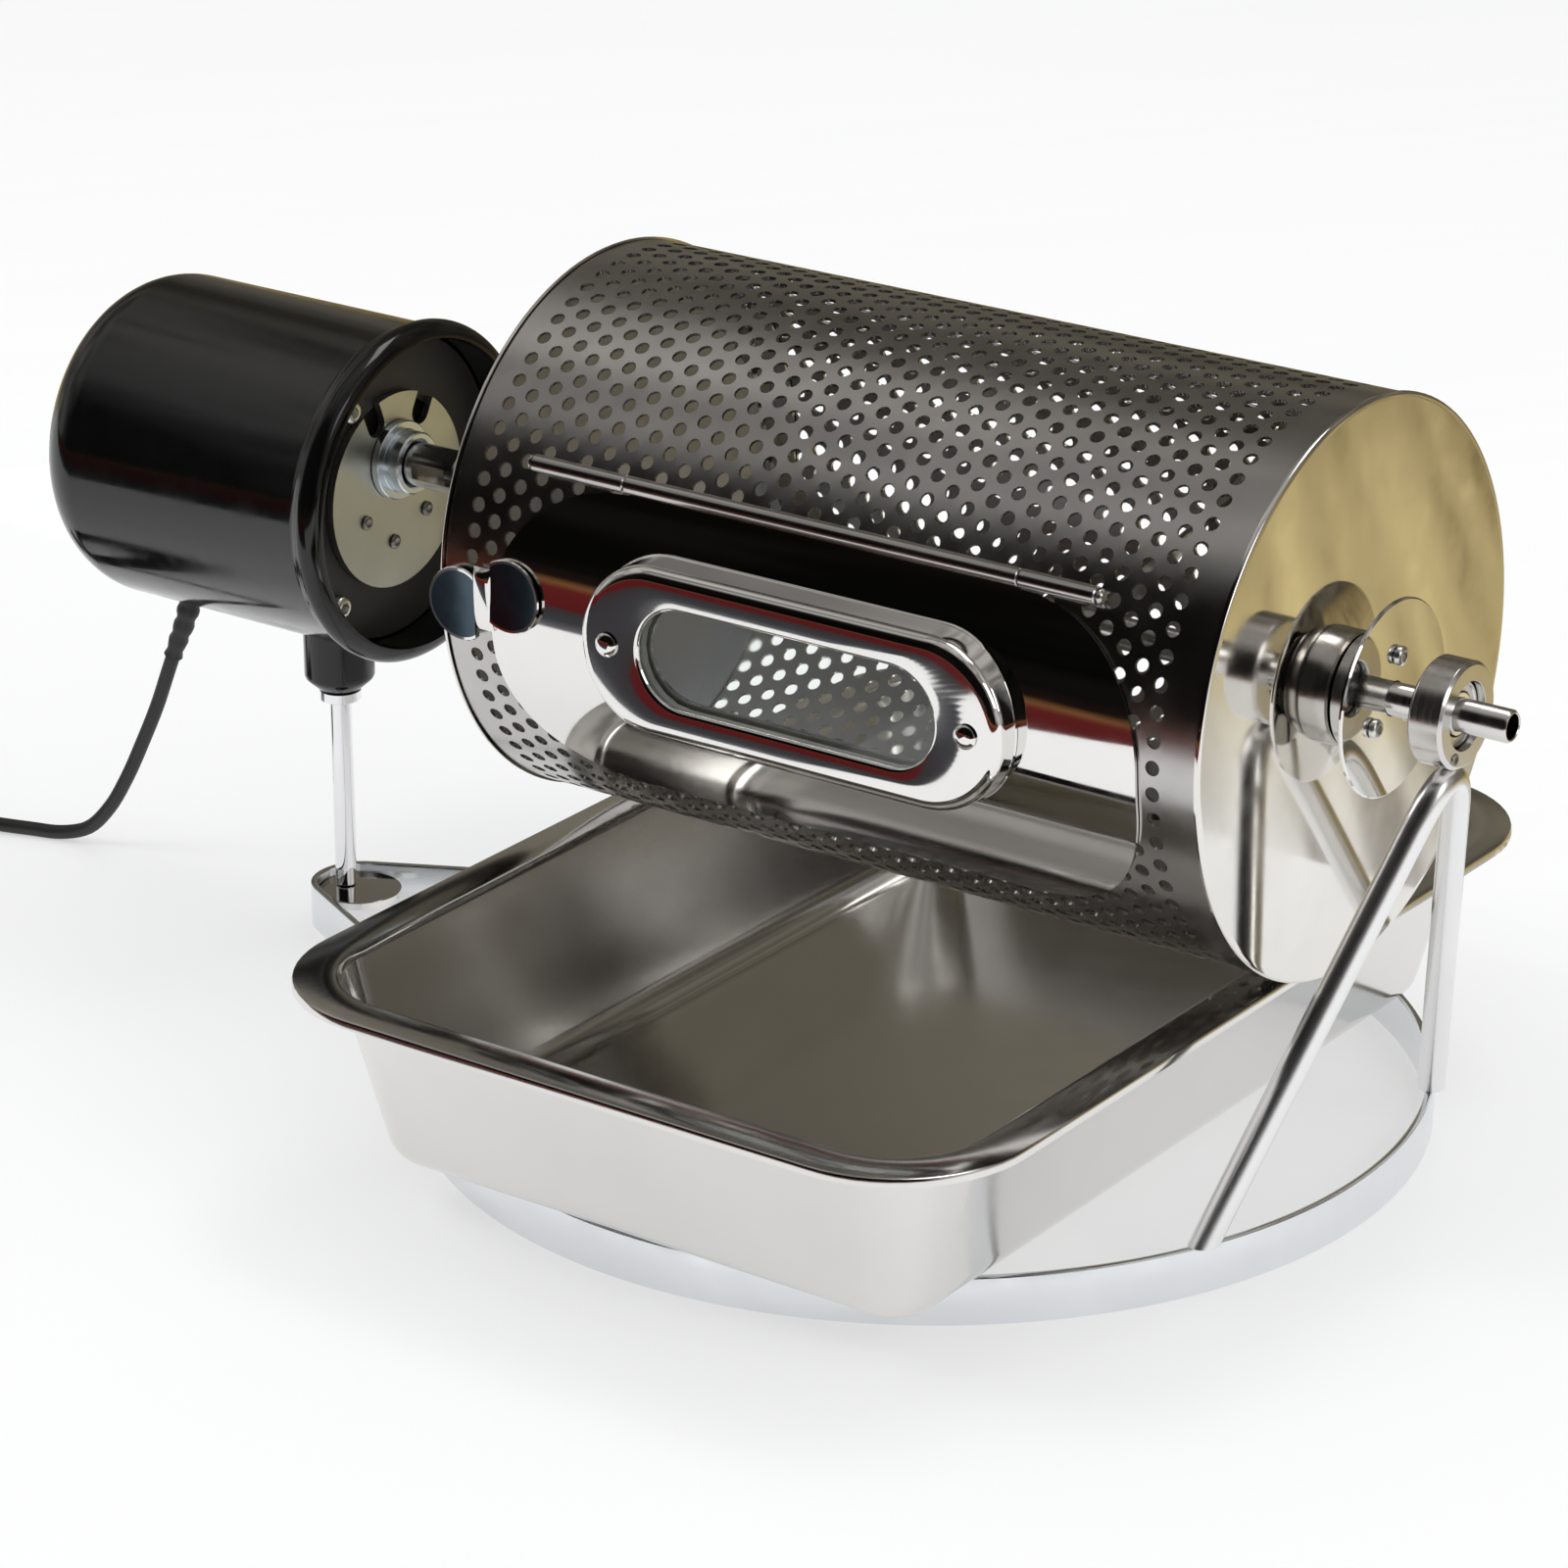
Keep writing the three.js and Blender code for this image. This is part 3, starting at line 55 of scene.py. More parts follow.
BORE = SHAFT_RADIUS + GAP
ROUND_SEGMENTS = 128
SMALL_SEGMENTS = 48
SHARP_ANGLE = radians(38)


def linked(name, data):
    """A new object in the scene."""
    thing = bpy.data.objects.new(name, data)
    bpy.context.scene.collection.objects.link(thing)
    return thing


def with_settings(thing, **settings):
    for name, value in settings.items():
        setattr(thing, name, value)
    return thing


# Camera
camera = linked("camera", with_settings(
    bpy.data.cameras.new("camera"), lens=126.25, sensor_width=36, clip_end=20))
camera.location = (0.76086, -1.03637, 0.59528)
camera.rotation_euler = (radians(90 - 21.954), 0, radians(35.713))
bpy.context.scene.camera = camera


# Materials. Noise scales are in features to the metre, and depths are in metres.
MARK_SCALE = 24
WEAR_SCALE = 90
GRAIN_SCALE = 900
WAVE_SCALE = 14


def add_node(tree, kind, inputs, **settings):
    """Adds a node and returns its output. An input is a value, or the socket that feeds it."""
    node = with_settings(tree.nodes.new(kind), **settings)
    for name, value in inputs.items():
        if isinstance(value, bpy.types.NodeSocket):
            tree.links.new(value, node.inputs[name])
        else:
            node.inputs[name].default_value = value
    return next((socket for socket in node.outputs if socket.enabled), None)


class Finish:
    """A material whose nodes are added one after another."""

    def __init__(self, name, colour, roughness, metallic=0.0):
        self.material = bpy.data.materials.new(name)
        self.material.use_nodes = True
        self.tree = self.material.node_tree
        self.shader = self.tree.nodes["Principled BSDF"]
        self.shader.inputs["Metallic"].default_value = metallic
        self.shader.inputs["Base Color"].default_value = (*colour, 1)
        self.shader.inputs["Roughness"].default_value = roughness
        self.place = self.tree.nodes.new("ShaderNodeTexCoord").outputs["Object"]
        self.colour = colour

    def noise(self, scale, detail=4, stretch=None, distortion=0.0):
        place = self.place
        if stretch:
            place = add_node(self.tree, "ShaderNodeMapping", {"Vector": place, "Scale": stretch})
        return add_node(self.tree, "ShaderNodeTexNoise", {
            "Vector": place, "Scale": scale, "Detail": detail, "Distortion": distortion})

    def ranged(self, value, low, high, from_low=0.3, from_high=0.7):
        return add_node(self.tree, "ShaderNodeMapRange", {
            "Value": value, "From Min": from_low, "From Max": from_high,
            "To Min": low, "To Max": high})

    def paint(self, name, socket):
        self.tree.links.new(socket, self.shader.inputs[name])

    def mark(self, marks, smudge):
        """Darkens the colour in patches, to a share of itself."""
        dark = [part * smudge for part in self.colour]
        self.paint("Base Color", add_node(self.tree, "ShaderNodeMix", {
            "Factor": self.ranged(marks, 0, 1, 0.35, 0.65), "A": (*dark, 1),
            "B": (*self.colour, 1)}, data_type="RGBA"))

    def bump(self, height, strength, distance):
        self.paint("Normal", add_node(self.tree, "ShaderNodeBump", {
            "Height": height, "Strength": strength, "Distance": distance}))


def steel(name, colour, roughness, spread=0.04, smudge=0.9, wave=0.0, grain=None, grain_depth=0.0):
    """Bare or plated metal with faint handling marks, and a brushed grain where it has one."""
    finish = Finish(name, colour, roughness, 1.0)
    finish.mark(finish.noise(MARK_SCALE, 5, distortion=0.6), smudge)
    wear = finish.noise(WEAR_SCALE, 3, grain)
    finish.paint("Roughness", finish.ranged(wear, roughness - spread / 2, roughness + spread))
    if grain_depth:
        finish.bump(finish.noise(GRAIN_SCALE, 2, grain), 0.25, grain_depth)
    elif wave:
        finish.bump(finish.noise(WAVE_SCALE, 1), 0.5, wave)
    return finish.material


def moulded(name, colour, roughness, skin_scale=2600, depth=0.00002):
    """Plastic, rubber or paint with a fine skin."""
    finish = Finish(name, colour, roughness)
    finish.mark(finish.noise(40), 0.8)
    wear = finish.noise(160, 3)
    finish.paint("Roughness", finish.ranged(wear, roughness - 0.03, roughness + 0.06))
    finish.bump(finish.noise(skin_scale, 2), 0.3, depth)
    return finish.material


mirror_steel = steel("mirror_steel", (0.86, 0.85, 0.83), 0.045, 0.03, 0.95, wave=0.0004)
cap_steel = steel("cap_steel", (0.84, 0.82, 0.78), 0.06, 0.04, 0.93, wave=0.0004)
drum_steel = steel("drum_steel", (0.58, 0.565, 0.55), 0.2, 0.05, 0.88)
vane_steel = steel("vane_steel", (0.45, 0.42, 0.39), 0.3, 0.1, 0.8)
dull_steel = steel("dull_steel", (0.90, 0.90, 0.93), 0.42, 0.06, 0.93)
ring_steel = steel("ring_steel", (0.84, 0.86, 0.88), 0.16, 0.08, 0.93)
tray_steel = steel("tray_steel", (0.78, 0.77, 0.75), 0.13, 0.02, 0.97)
chrome = steel("chrome", (0.88, 0.88, 0.89), 0.05, 0.03, 0.96)
rod_steel = steel("rod_steel", (0.88, 0.88, 0.88), 0.26, 0.01, 0.96)
turned_steel = steel("turned_steel", (0.72, 0.71, 0.69), 0.2, 0.05, 0.92, grain=(8, 1, 1),
                     grain_depth=0.000005)
zinc_plate = steel("zinc_plate", (0.62, 0.63, 0.56), 0.34, 0.1, 0.85)
bush_metal = steel("bush_metal", (0.72, 0.78, 0.82), 0.24, 0.04, 0.95)
rivet_steel = steel("rivet_steel", (0.34, 0.33, 0.30), 0.35, 0.1, 0.8)
motor_metal = steel("motor_metal", (0.5, 0.5, 0.5), 0.35, 0.1, 0.85)
# Dark blue-grey for the latch wings' dish centres: a painted reflection of the room in the dished
# mirror.
latch_steel = steel("latch_steel", (0.085, 0.12, 0.15), 0.14)
screw_zinc = steel("screw_zinc", (0.80, 0.80, 0.77), 0.26, 0.08, 0.9)
# Near-black for the recess in the shaft's outer end: painted shade.
bore_black = steel("bore_black", (0.05, 0.048, 0.045), 0.4, 0.1, 0.8)
housing_black = moulded("housing_black", (0.003, 0.003, 0.003), 0.1, depth=0.000003)
plate_black = moulded("plate_black", (0.03, 0.028, 0.026), 0.45)
rubber_black = moulded("rubber_black", (0.022, 0.021, 0.02), 0.5, 1800, 0.00004)
silicone = moulded("silicone", (0.78, 0.76, 0.70), 0.6)


def make_glass():
    finish = Finish("window_glass_clear", (0.93, 0.96, 0.94), 0.02)
    finish.shader.inputs["Transmission Weight"].default_value = 1.0
    finish.shader.inputs["IOR"].default_value = 1.47
    finish.paint("Roughness", finish.ranged(finish.noise(60), 0.01, 0.06, 0.45, 0.75))
    return finish.material


clear_glass = make_glass()

# The materials of most pieces, each with the slot it goes in
MIRROR = (mirror_steel, "mirror_steel")
TURNED = (turned_steel, "turned_steel")
RUBBER = (rubber_black, "black_rubber")


# Making pieces
def merge(form, distance):
    bmesh.ops.remove_doubles(form, verts=form.verts, dist=distance)


def mend_normals(form):
    bmesh.ops.recalc_face_normals(form, faces=form.faces)


def shifted(form, vector):
    bmesh.ops.translate(form, verts=form.verts, vec=vector)
    return form


def mesh_from(name, form):
    mesh = bpy.data.meshes.new(name)
    form.to_mesh(mesh)
    form.free()
    return mesh


def finished(name, form, body, material, slot, *stands_for, at=(0, 0, 0), edge=0.0, wall=0.0):
    """Turns a form in millimetres into an object in the row frame that rides on a body."""
    shifted(form, Vector(at) + MACHINE_PLACE)
    bmesh.ops.scale(form, verts=form.verts, vec=(MM, MM, MM))
    for face in form.faces:
        face.smooth = True
    mesh = mesh_from(name, form)
    mesh.set_sharp_from_angle(angle=SHARP_ANGLE)
    mesh.materials.append(material)
    thing = linked(name, mesh)
    if wall:
        with_settings(thing.modifiers.new("wall", "SOLIDIFY"), thickness=wall * MM, offset=-1,
                      use_even_offset=True)
        shown = thing.evaluated_get(bpy.context.evaluated_depsgraph_get())
        thing.data = bpy.data.meshes.new_from_object(shown)
        thing.data.set_sharp_from_angle(angle=SHARP_ANGLE)
        thing.modifiers.clear()
    if edge:
        with_settings(thing.modifiers.new("edges", "BEVEL"), width=edge * MM, segments=2,
                      limit_method="ANGLE", angle_limit=SHARP_ANGLE, harden_normals=True)
    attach(thing, body)
    if stands_for:
        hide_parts(*stands_for)
    return thing


def second_finish(thing, material, at, chosen):
    """Gives another material to the faces whose middle, measured from a place, is chosen."""
    thing.data.materials.append(material)
    for face in thing.data.polygons:
        if chosen(face.center / MM - MACHINE_PLACE - Vector(at)):
            face.material_index = 1


def turned(profile, segments=ROUND_SEGMENTS):
    """Spins a profile of (X, radius) round the X axis. One that starts off the axis is a ring."""
    form = bmesh.new()
    verts = [form.verts.new((x, 0, radius)) for x, radius in profile]
    edges = [form.edges.new((a, b)) for a, b in zip(verts, verts[1:]) if a.co.z or b.co.z]
    if profile[0][1] > 0:
        edges.append(form.edges.new((verts[-1], verts[0])))
    bmesh.ops.spin(form, geom=verts + edges, cent=(0, 0, 0), axis=(1, 0, 0), angle=tau,
                   steps=segments, use_merge=True)
    merge(form, 0.0005)
    mend_normals(form)
    return form


def round_piece(name, profile, body, material, slot, *stands_for, at=ON_AXIS,
                segments=ROUND_SEGMENTS, edge=0.0):
    """A turned piece, on the drum's axis if no other place is given."""
    return finished(name, turned(profile, segments), body, material, slot, *stands_for,
                    at=at, edge=edge)


def upright(form):
    """Stands a form that was turned round X on its end, with X as the height."""
    bmesh.ops.rotate(form, verts=form.verts, matrix=Matrix.Rotation(-pi / 2, 3, "Y"))
    return form


def to_front(form):
    """Lays a form that was turned round X so that X points towards the door's side."""
    bmesh.ops.rotate(form, verts=form.verts, matrix=Matrix.Rotation(-pi / 2, 3, "Z"))
    return form


def joined(*forms):
    """One form from several."""
    whole, *others = forms
    for other in others:
        mesh = mesh_from("part", other)
        whole.from_mesh(mesh)
        bpy.data.meshes.remove(mesh)
    return whole


def verts_in(geometry):
    return [item for item in geometry if isinstance(item, bmesh.types.BMVert)]


def edges_in(geometry):
    return [item for item in geometry if isinstance(item, bmesh.types.BMEdge)]


def edges_at(verts):
    """The edges that meet at some vertices, each of them once."""
    return list(dict.fromkeys(edge for vert in verts for edge in vert.link_edges))


def everything(form):
    return form.verts[:] + form.edges[:] + form.faces[:]


def cut_off(form, place, outward, filled=False):
    """Takes away what lies past a plane, and closes the cut if asked."""
    cut = bmesh.ops.bisect_plane(form, geom=everything(form), plane_co=place, plane_no=outward,
                                 clear_outer=True)
    if filled:
        bmesh.ops.holes_fill(form, edges=edges_in(cut["geom_cut"]))


def close_level(form, height, reach):
    """Fills the open edge that runs within a reach of a height."""
    bmesh.ops.holes_fill(form, edges=[
        edge for edge in form.edges
        if edge.is_boundary and all(abs(vert.co.z - height) < reach for vert in edge.verts)])


def face_towards(form, direction):
    """Turns an open sheet over if most of it looks away from a direction."""
    form.normal_update()
    if sum(face.normal.dot(direction) * face.calc_area() for face in form.faces) < 0:
        bmesh.ops.reverse_faces(form, faces=form.faces)


def loop_edges(form, points):
    verts = [form.verts.new(point) for point in points]
    return [form.edges.new(pair) for pair in zip(verts, verts[1:] + verts[:1])]


def lofted(loops, around=False, ends=False):
    """Draws one closed loop of points out through the others, and round to the first if asked."""
    form = bmesh.new()
    edges = loop_edges(form, loops[0])
    ring = form.verts[:]
    for points in loops[1:] + (loops[:1] if around else []):
        grown = bmesh.ops.extrude_edge_only(form, edges=edges)["geom"]
        fresh = set(verts_in(grown))
        edges = [edge for edge in edges_in(grown) if fresh.issuperset(edge.verts)]
        ring = [next(edge.other_vert(vert) for edge in vert.link_edges
                     if edge.other_vert(vert) in fresh) for vert in ring]
        for vert, point in zip(ring, points):
            vert.co = point
    if around:
        merge(form, 0.0001)
    if ends:
        bmesh.ops.holes_fill(form, edges=form.edges, sides=0)
    mend_normals(form)
    return form


def swept(points, radii, sides=32):
    """A round bar along points, with a radius at each."""
    form = bmesh.new()
    rings = []
    for i, point in enumerate(points):
        heading = points[min(i + 1, len(points) - 1)] - points[max(i - 1, 0)]
        place = Matrix.Translation(point) @ heading.to_track_quat("Z", "Y").to_matrix().to_4x4()
        circle = bmesh.ops.create_circle(form, segments=sides, radius=radii[i], matrix=place)
        rings.append(edges_at(circle["verts"]))
    for low, high in zip(rings, rings[1:]):
        bmesh.ops.bridge_loops(form, edges=low + high)
    bmesh.ops.holes_fill(form, edges=rings[0] + rings[-1], sides=0)
    mend_normals(form)
    return form


def softened(name, node, body, material, slot, edge):
    """A CAD node's own shape, merged, with its edges rounded off."""
    form = bmesh.new()
    form.from_mesh(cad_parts[node].data)
    bmesh.ops.scale(form, verts=form.verts, vec=(1 / MM, 1 / MM, 1 / MM))
    shifted(form, -MACHINE_PLACE)
    merge(form, 0.002)
    bmesh.ops.dissolve_limit(form, angle_limit=radians(1), verts=form.verts, edges=form.edges)
    return finished(name, form, body, material, slot, node, edge=edge)


def arc(centre_x, centre_y, radius, start, stop, steps):
    angles = [radians(start + (stop - start) * i / steps) for i in range(steps + 1)]
    return [(centre_x + radius * cos(a), centre_y + radius * sin(a)) for a in angles]


def spot_on_circle(radius, angle):
    return arc(0, 0, radius, angle, angle, 1)[0]


def obround(half_length, half_height, steps=24):
    straight = half_length - half_height
    return (arc(straight, 0, half_height, -90, 90, steps)
            + arc(-straight, 0, half_height, 90, 270, steps))


def rounded_rectangle(half_x, half_y, corner, steps=14):
    across, along = half_x - corner, half_y - corner
    return (arc(across, along, corner, 0, 90, steps) + arc(-across, along, corner, 90, 180, steps)
            + arc(-across, -along, corner, 180, 270, steps)
            + arc(across, -along, corner, 270, 360, steps))


def roll(form, radius):
    """Wraps a flat sheet round the drum: its Y is the arc up from the front, its Z the height."""
    for vert in form.verts:
        angle = vert.co.y / DRUM_RADIUS
        distance = radius + vert.co.z
        vert.co = (vert.co.x, -distance * cos(angle), distance * sin(angle))


def screw(head_radius, head_height, shank_radius, length, socket=0.5):
    """A cap screw along X with its seat at 0: a rounded head with a six-sided socket."""
    sides = 24

    def ring(radius, x):
        return [(x, y, z) for y, z in arc(0, 0, radius, 0, 360, sides)[:-1]]

    def hexagon(radius, x):
        points = []
        for i in range(sides):
            angle = tau * i / sides
            reach = radius * cos(pi / 6) / cos((angle % (pi / 3)) - pi / 6)
            points.append((x, reach * cos(angle), reach * sin(angle)))
        return points

    crown = head_height * 0.72
    opening = head_radius * socket
    return lofted([
        ring(shank_radius, -length), ring(shank_radius, 0), ring(head_radius, 0),
        ring(head_radius, crown * 0.8), ring(head_radius * 0.95, crown),
        ring(head_radius * 0.8, head_height * 0.93), ring(head_radius * 0.68, head_height),
        hexagon(opening, head_height), hexagon(opening * 0.96, head_height * 0.35)], ends=True)


# Mains cord, from the housing to the coil and its plug
CORD_RADIUS = 2
CORD_EXIT = (-255.5, 0, 82.9)
CORD_ROUTE = [
    CORD_EXIT, (-255.6, 0, 80), (-257.2, 0, 75), (-260.8, 0, 67), (-264.6, 0, 58),
    (-269.2, 0, 47), (-274.9, 0, 35.5), (-281.4, -0.3, 23), (-288, -1, 12.5), (-295.4, -2.2, 5),
    (-303.8, -4.4, 2.3), (-313, -7.2, 2.1), (-323, -10.4, 2.2), (-333, -13, 2.5),
]
ROUTE_STEPS = 5
COIL_CENTRE = (-352, -43.2)
COIL_INNER = 16.2
COIL_PITCH = 5.2
COIL_LAYER = 4.7
COIL_TURNS = 2.75
COIL_CLIMB = 0.5
COIL_LOW = CORD_RADIUS + 0.95
COIL_STEPS = 48
COIL_LEAD = 3
COIL_TAIL = 19


def coil_points():
    """Turns that run inwards on the floor, climb, and run outwards again on top."""
    total = 2 * COIL_TURNS + COIL_CLIMB
    count = round(total * COIL_STEPS)
    points = []
    for i in range(count + 1):
        turn = total * i / count
        climb = min(1, max(0, (turn - COIL_TURNS) / COIL_CLIMB))
        outside = max(0, COIL_TURNS - turn) + max(0, turn - COIL_TURNS - COIL_CLIMB)
        radius = COIL_INNER + COIL_PITCH * outside
        angle = pi / 2 + tau * turn
        points.append(Vector((
            COIL_CENTRE[0] + radius * cos(angle), COIL_CENTRE[1] + radius * sin(angle),
            COIL_LOW + COIL_LAYER * (1 - cos(pi * climb)) / 2)))
    return points


def smooth_through(points, steps):
    """Centripetal Catmull-Rom through the points."""
    ends = [2 * points[0] - points[1], *points, 2 * points[-1] - points[-2]]
    line = []
    for a, b, c, d in zip(ends, ends[1:], ends[2:], ends[3:]):
        times = [0.0]
        for first, second in ((a, b), (b, c), (c, d)):
            times.append(times[-1] + sqrt((second - first).length))
        t0, t1, t2, t3 = times
        for i in range(steps):
            t = t1 + (t2 - t1) * i / steps
            ab = a.lerp(b, (t - t0) / (t1 - t0))
            bc = b.lerp(c, (t - t1) / (t2 - t1))
            cd = c.lerp(d, (t - t2) / (t3 - t2))
            line.append(ab.lerp(bc, (t - t0) / (t2 - t0)).lerp(
                bc.lerp(cd, (t - t1) / (t3 - t1)), (t - t1) / (t2 - t1)))
    return line + [points[-1]]


def level(heading):
    return Vector((heading.x, heading.y, 0)).normalized()


turns = coil_points()
lead_heading = level(turns[0] - turns[1])
coil_start = turns[0] + COIL_LEAD * lead_heading
cord_end = turns[-1] + COIL_TAIL * level(turns[-1] - turns[-2])
free_points = smooth_through([
    *(Vector(point) for point in CORD_ROUTE), coil_start + 3 * CORD_RADIUS * lead_heading,
    coil_start], ROUTE_STEPS)
cord_points = free_points + turns + [cord_end]


def make_cord():
    curve = with_settings(bpy.data.curves.new("power_cord_line", "CURVE"), dimensions="3D",
                          bevel_depth=CORD_RADIUS * MM, bevel_resolution=5, use_fill_caps=True)
    spline = curve.splines.new("POLY")
    spline.points.add(len(cord_points) - 1)
    for place, point in zip(spline.points, cord_points):
        place.co = (*((point + MACHINE_PLACE) * MM), 1)
    curve.materials.append(rubber_black)
    cord = linked("power_cord_line", curve)
    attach(cord, "frame")
    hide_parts("power_cord", "cord_coil")
    return cord


def make_strain_relief():
    """A tapered sleeve with four ribs over the first of the cord, below its gland."""
    length, top, bottom, ribs, rib_height = 21, 3.1, 2.35, 4, 0.3
    points, radii, gone = [], [], 0.0
    for a, b in zip(free_points, free_points[1:]):
        if gone > length:
            break
        share = gone / length
        points.append(a)
        radii.append(top + (bottom - top) * share + rib_height * cos(share * ribs * tau))
        gone += (b - a).length
    return finished("cord_strain_relief", swept(points, radii), "frame", *RUBBER)


def make_plug():
    """The plug's body, its pins and the strip that ties the coil, from their CAD shapes."""
    return [
        softened("plug_moulding", "plug_body", "frame", *RUBBER, 0.8),
        softened("plug_left_pin", "plug_pin_1", "frame", chrome, "turned_steel", 0.2),
        softened("plug_right_pin", "plug_pin_2", "frame", chrome, "turned_steel", 0.2),
        softened("cord_tie_strip", "cord_tie", "frame", *RUBBER, 0.2)]


power_cord = make_cord()
strain_relief = make_strain_relief()
make_plug()
finished("cord_grommet", upright(turned([
    (83.3, 0), (83.3, 3.0), (83.6, 3.3), (84.4, 3.3), (84.4, 2.5), (87.6, 2.5), (87.6, 3.2),
    (89.2, 3.2), (89.2, 0)], SMALL_SEGMENTS)), "frame", *RUBBER,
    "cord_gland", at=(CORD_EXIT[0], 0, 0))


# Band, post and bracket
BAND = {"radius": 128.92, "centre": -12, "height": 12.5, "wall": 2, "nose": -197.5,
        "nose_radius": 13.5, "nose_angle": 27, "blend": 40}
POST_PLACE = (-202.5, 0, 0)
HOLDER_RADIUS = 13


def band_outline(inset):
    """The circle, drawn in to a round nose at the motor's end through two hollow curves."""
    slope = radians(BAND["nose_angle"])
    along = Vector((cos(slope), sin(slope)))
    across = Vector((-sin(slope), cos(slope)))
    reach = BAND["radius"] + BAND["blend"]
    start = (Vector((BAND["nose"] - BAND["centre"], 0))
             + (BAND["nose_radius"] + BAND["blend"]) * across)
    half = start.dot(along)
    blend = start + along * (-half - sqrt(half ** 2 - start.length_squared + reach ** 2))
    turn = degrees(atan2(blend.y, blend.x))
    blend.x += BAND["centre"]
    upper = (arc(BAND["centre"], 0, BAND["radius"] - inset, 0, turn, 70)
             + arc(*blend, BAND["blend"] + inset, turn - 180, BAND["nose_angle"] - 90, 20)[1:]
             + arc(BAND["nose"], 0, BAND["nose_radius"] - inset, BAND["nose_angle"] + 90, 180, 18))
    return upper + [(x, -y) for x, y in upper[-2:0:-1]]


def make_band():
    """A band on its edge, its four long edges broken."""
    height, wall, corner = BAND["height"], BAND["wall"], 0.45
    rounding = 0.3 * corner
    section = [(0, corner), (0, height - corner), (rounding, height - rounding), (corner, height),
               (wall - corner, height), (wall - rounding, height - rounding),
               (wall, height - corner), (wall, corner), (wall - corner, 0), (corner, 0)]
    form = lofted([[(x, y, z) for x, y in band_outline(inset)] for inset, z in section], around=True)
    finished("ground_band", form, "frame", ring_steel, "ring_steel", "base_ring")


def make_bracket():
    """One rod bent to a V at the bearing, with its feet cut flat on the band."""
    radius, foot_y, bend_length, bend_steps, leg_steps = 3.5, 55.5, 11, 12, 8
    foot_x = BAND["centre"] + sqrt((BAND["radius"] - BAND["wall"] / 2) ** 2 - foot_y ** 2)
    top = Vector((133.7, 5, AXIS_Z - HOLDER_RADIUS - GAP - radius))
    foot = Vector((foot_x, foot_y, BAND["height"] - radius))
    bend_start = Vector((top.x, 0, top.z))
    bend_end = top + bend_length * (foot - top).normalized()
    shares = [i / bend_steps for i in range(bend_steps + 1)]
    half = [bend_start.lerp(top, share).lerp(top.lerp(bend_end, share), share) for share in shares]
    half += [bend_end.lerp(foot, i / leg_steps) for i in range(1, leg_steps + 1)]
    points = [Vector((p.x, -p.y, p.z)) for p in half[:0:-1]] + half
    form = swept(points, [radius] * len(points), 40)
    cut_off(form, (0, 0, BAND["height"]), (0, 0, -1), filled=True)
    finished("bearing_rod", form, "frame", rod_steel, "rod_steel", "bearing_bracket", edge=0.25)


def make_post():
    foot = turned([(8, 0), (8, 11.1), (10.2, 11.1), (10.2, 0)], 96)
    finished("post_foot_plate", upright(foot), "frame", *MIRROR, "post_foot",
             at=(BAND["nose"], 0, 0), edge=0.3)
    rod = turned([(10.5, 0), (10.5, 2.9), (82, 2.9), (82, 0)], SMALL_SEGMENTS)
    finished("motor_rod", upright(rod), "frame", chrome, "rod_steel", "motor_post", at=POST_PLACE,
             edge=0.3)
    nut = turned([(64.2, 3.2), (64.2, 5.2), (64.5, 5.6), (66.9, 5.6), (67.2, 5.2), (67.2, 3.2)],
                 SMALL_SEGMENTS)
    finished("post_ring", upright(nut), "frame", chrome, "rod_steel", "post_collar", at=POST_PLACE)


make_band()
make_bracket()
make_post()


# Tray
TRAY = {"half_x": 101.5, "half_y": 142.5, "centre": (-3.5, -14.5), "rim": 62, "corner": 35,
        "flange": 11, "slope": 13, "lip": 2.2, "bottom": 12.8, "fold": 2.2, "fillet": 9}


def tray_loop(inset, z):
    corner = max(TRAY["fillet"], TRAY["corner"] - inset)
    return [(x + TRAY["centre"][0], y + TRAY["centre"][1], z) for x, y in rounded_rectangle(
        TRAY["half_x"] - inset, TRAY["half_y"] - inset, corner)]


def make_tray():
    """A pressed pan: a turned-down lip, a flat flange, sloped walls and a flat bottom."""
    rim, floor, fold = TRAY["rim"], TRAY["bottom"] + SHEET, TRAY["fold"]
    fillet = TRAY["fillet"] - SHEET
    fold_steps, fillet_steps = 6, 8
    slope = atan2(TRAY["slope"], rim - floor)

    def wall(z):
        return TRAY["flange"] + SHEET + TRAY["slope"] * (rim - z) / (rim - TRAY["bottom"])

    loops = [tray_loop(0, rim - TRAY["lip"]), tray_loop(0, rim - 0.9), tray_loop(0.25, rim - 0.25),
             tray_loop(0.9, rim)]
    turn = pi / 2 - slope
    flat_end = wall(rim) - fold * tan(turn / 2)
    for i in range(fold_steps + 1):
        angle = turn * i / fold_steps
        loops.append(tray_loop(flat_end + fold * sin(angle), rim - fold * (1 - cos(angle))))
    bend_z = floor + fillet * (1 - sin(slope))
    bend_inset = wall(bend_z)
    for i in range(fillet_steps + 1):
        angle = slope + turn * i / fillet_steps
        loops.append(tray_loop(bend_inset + fillet * (cos(slope) - cos(angle)),
                               floor + fillet * (1 - sin(angle))))
    form = lofted(loops)
    close_level(form, floor, 0.01)
    mend_normals(form)
    face_towards(form, Vector((0, 0, 1)))
    finished("tray_pan", form, "tray", tray_steel, "tray_steel", "bean_tray", wall=SHEET)


# Motor, its housing and the coupling
HOUSING_FRONT = -171
HOUSING_BACK = -273
PLATE_SCREWS = ((-16.6, 25), (-22.9, -27), (32.5, -1.5))
GEAR_RIVETS = (205, 262, 322)


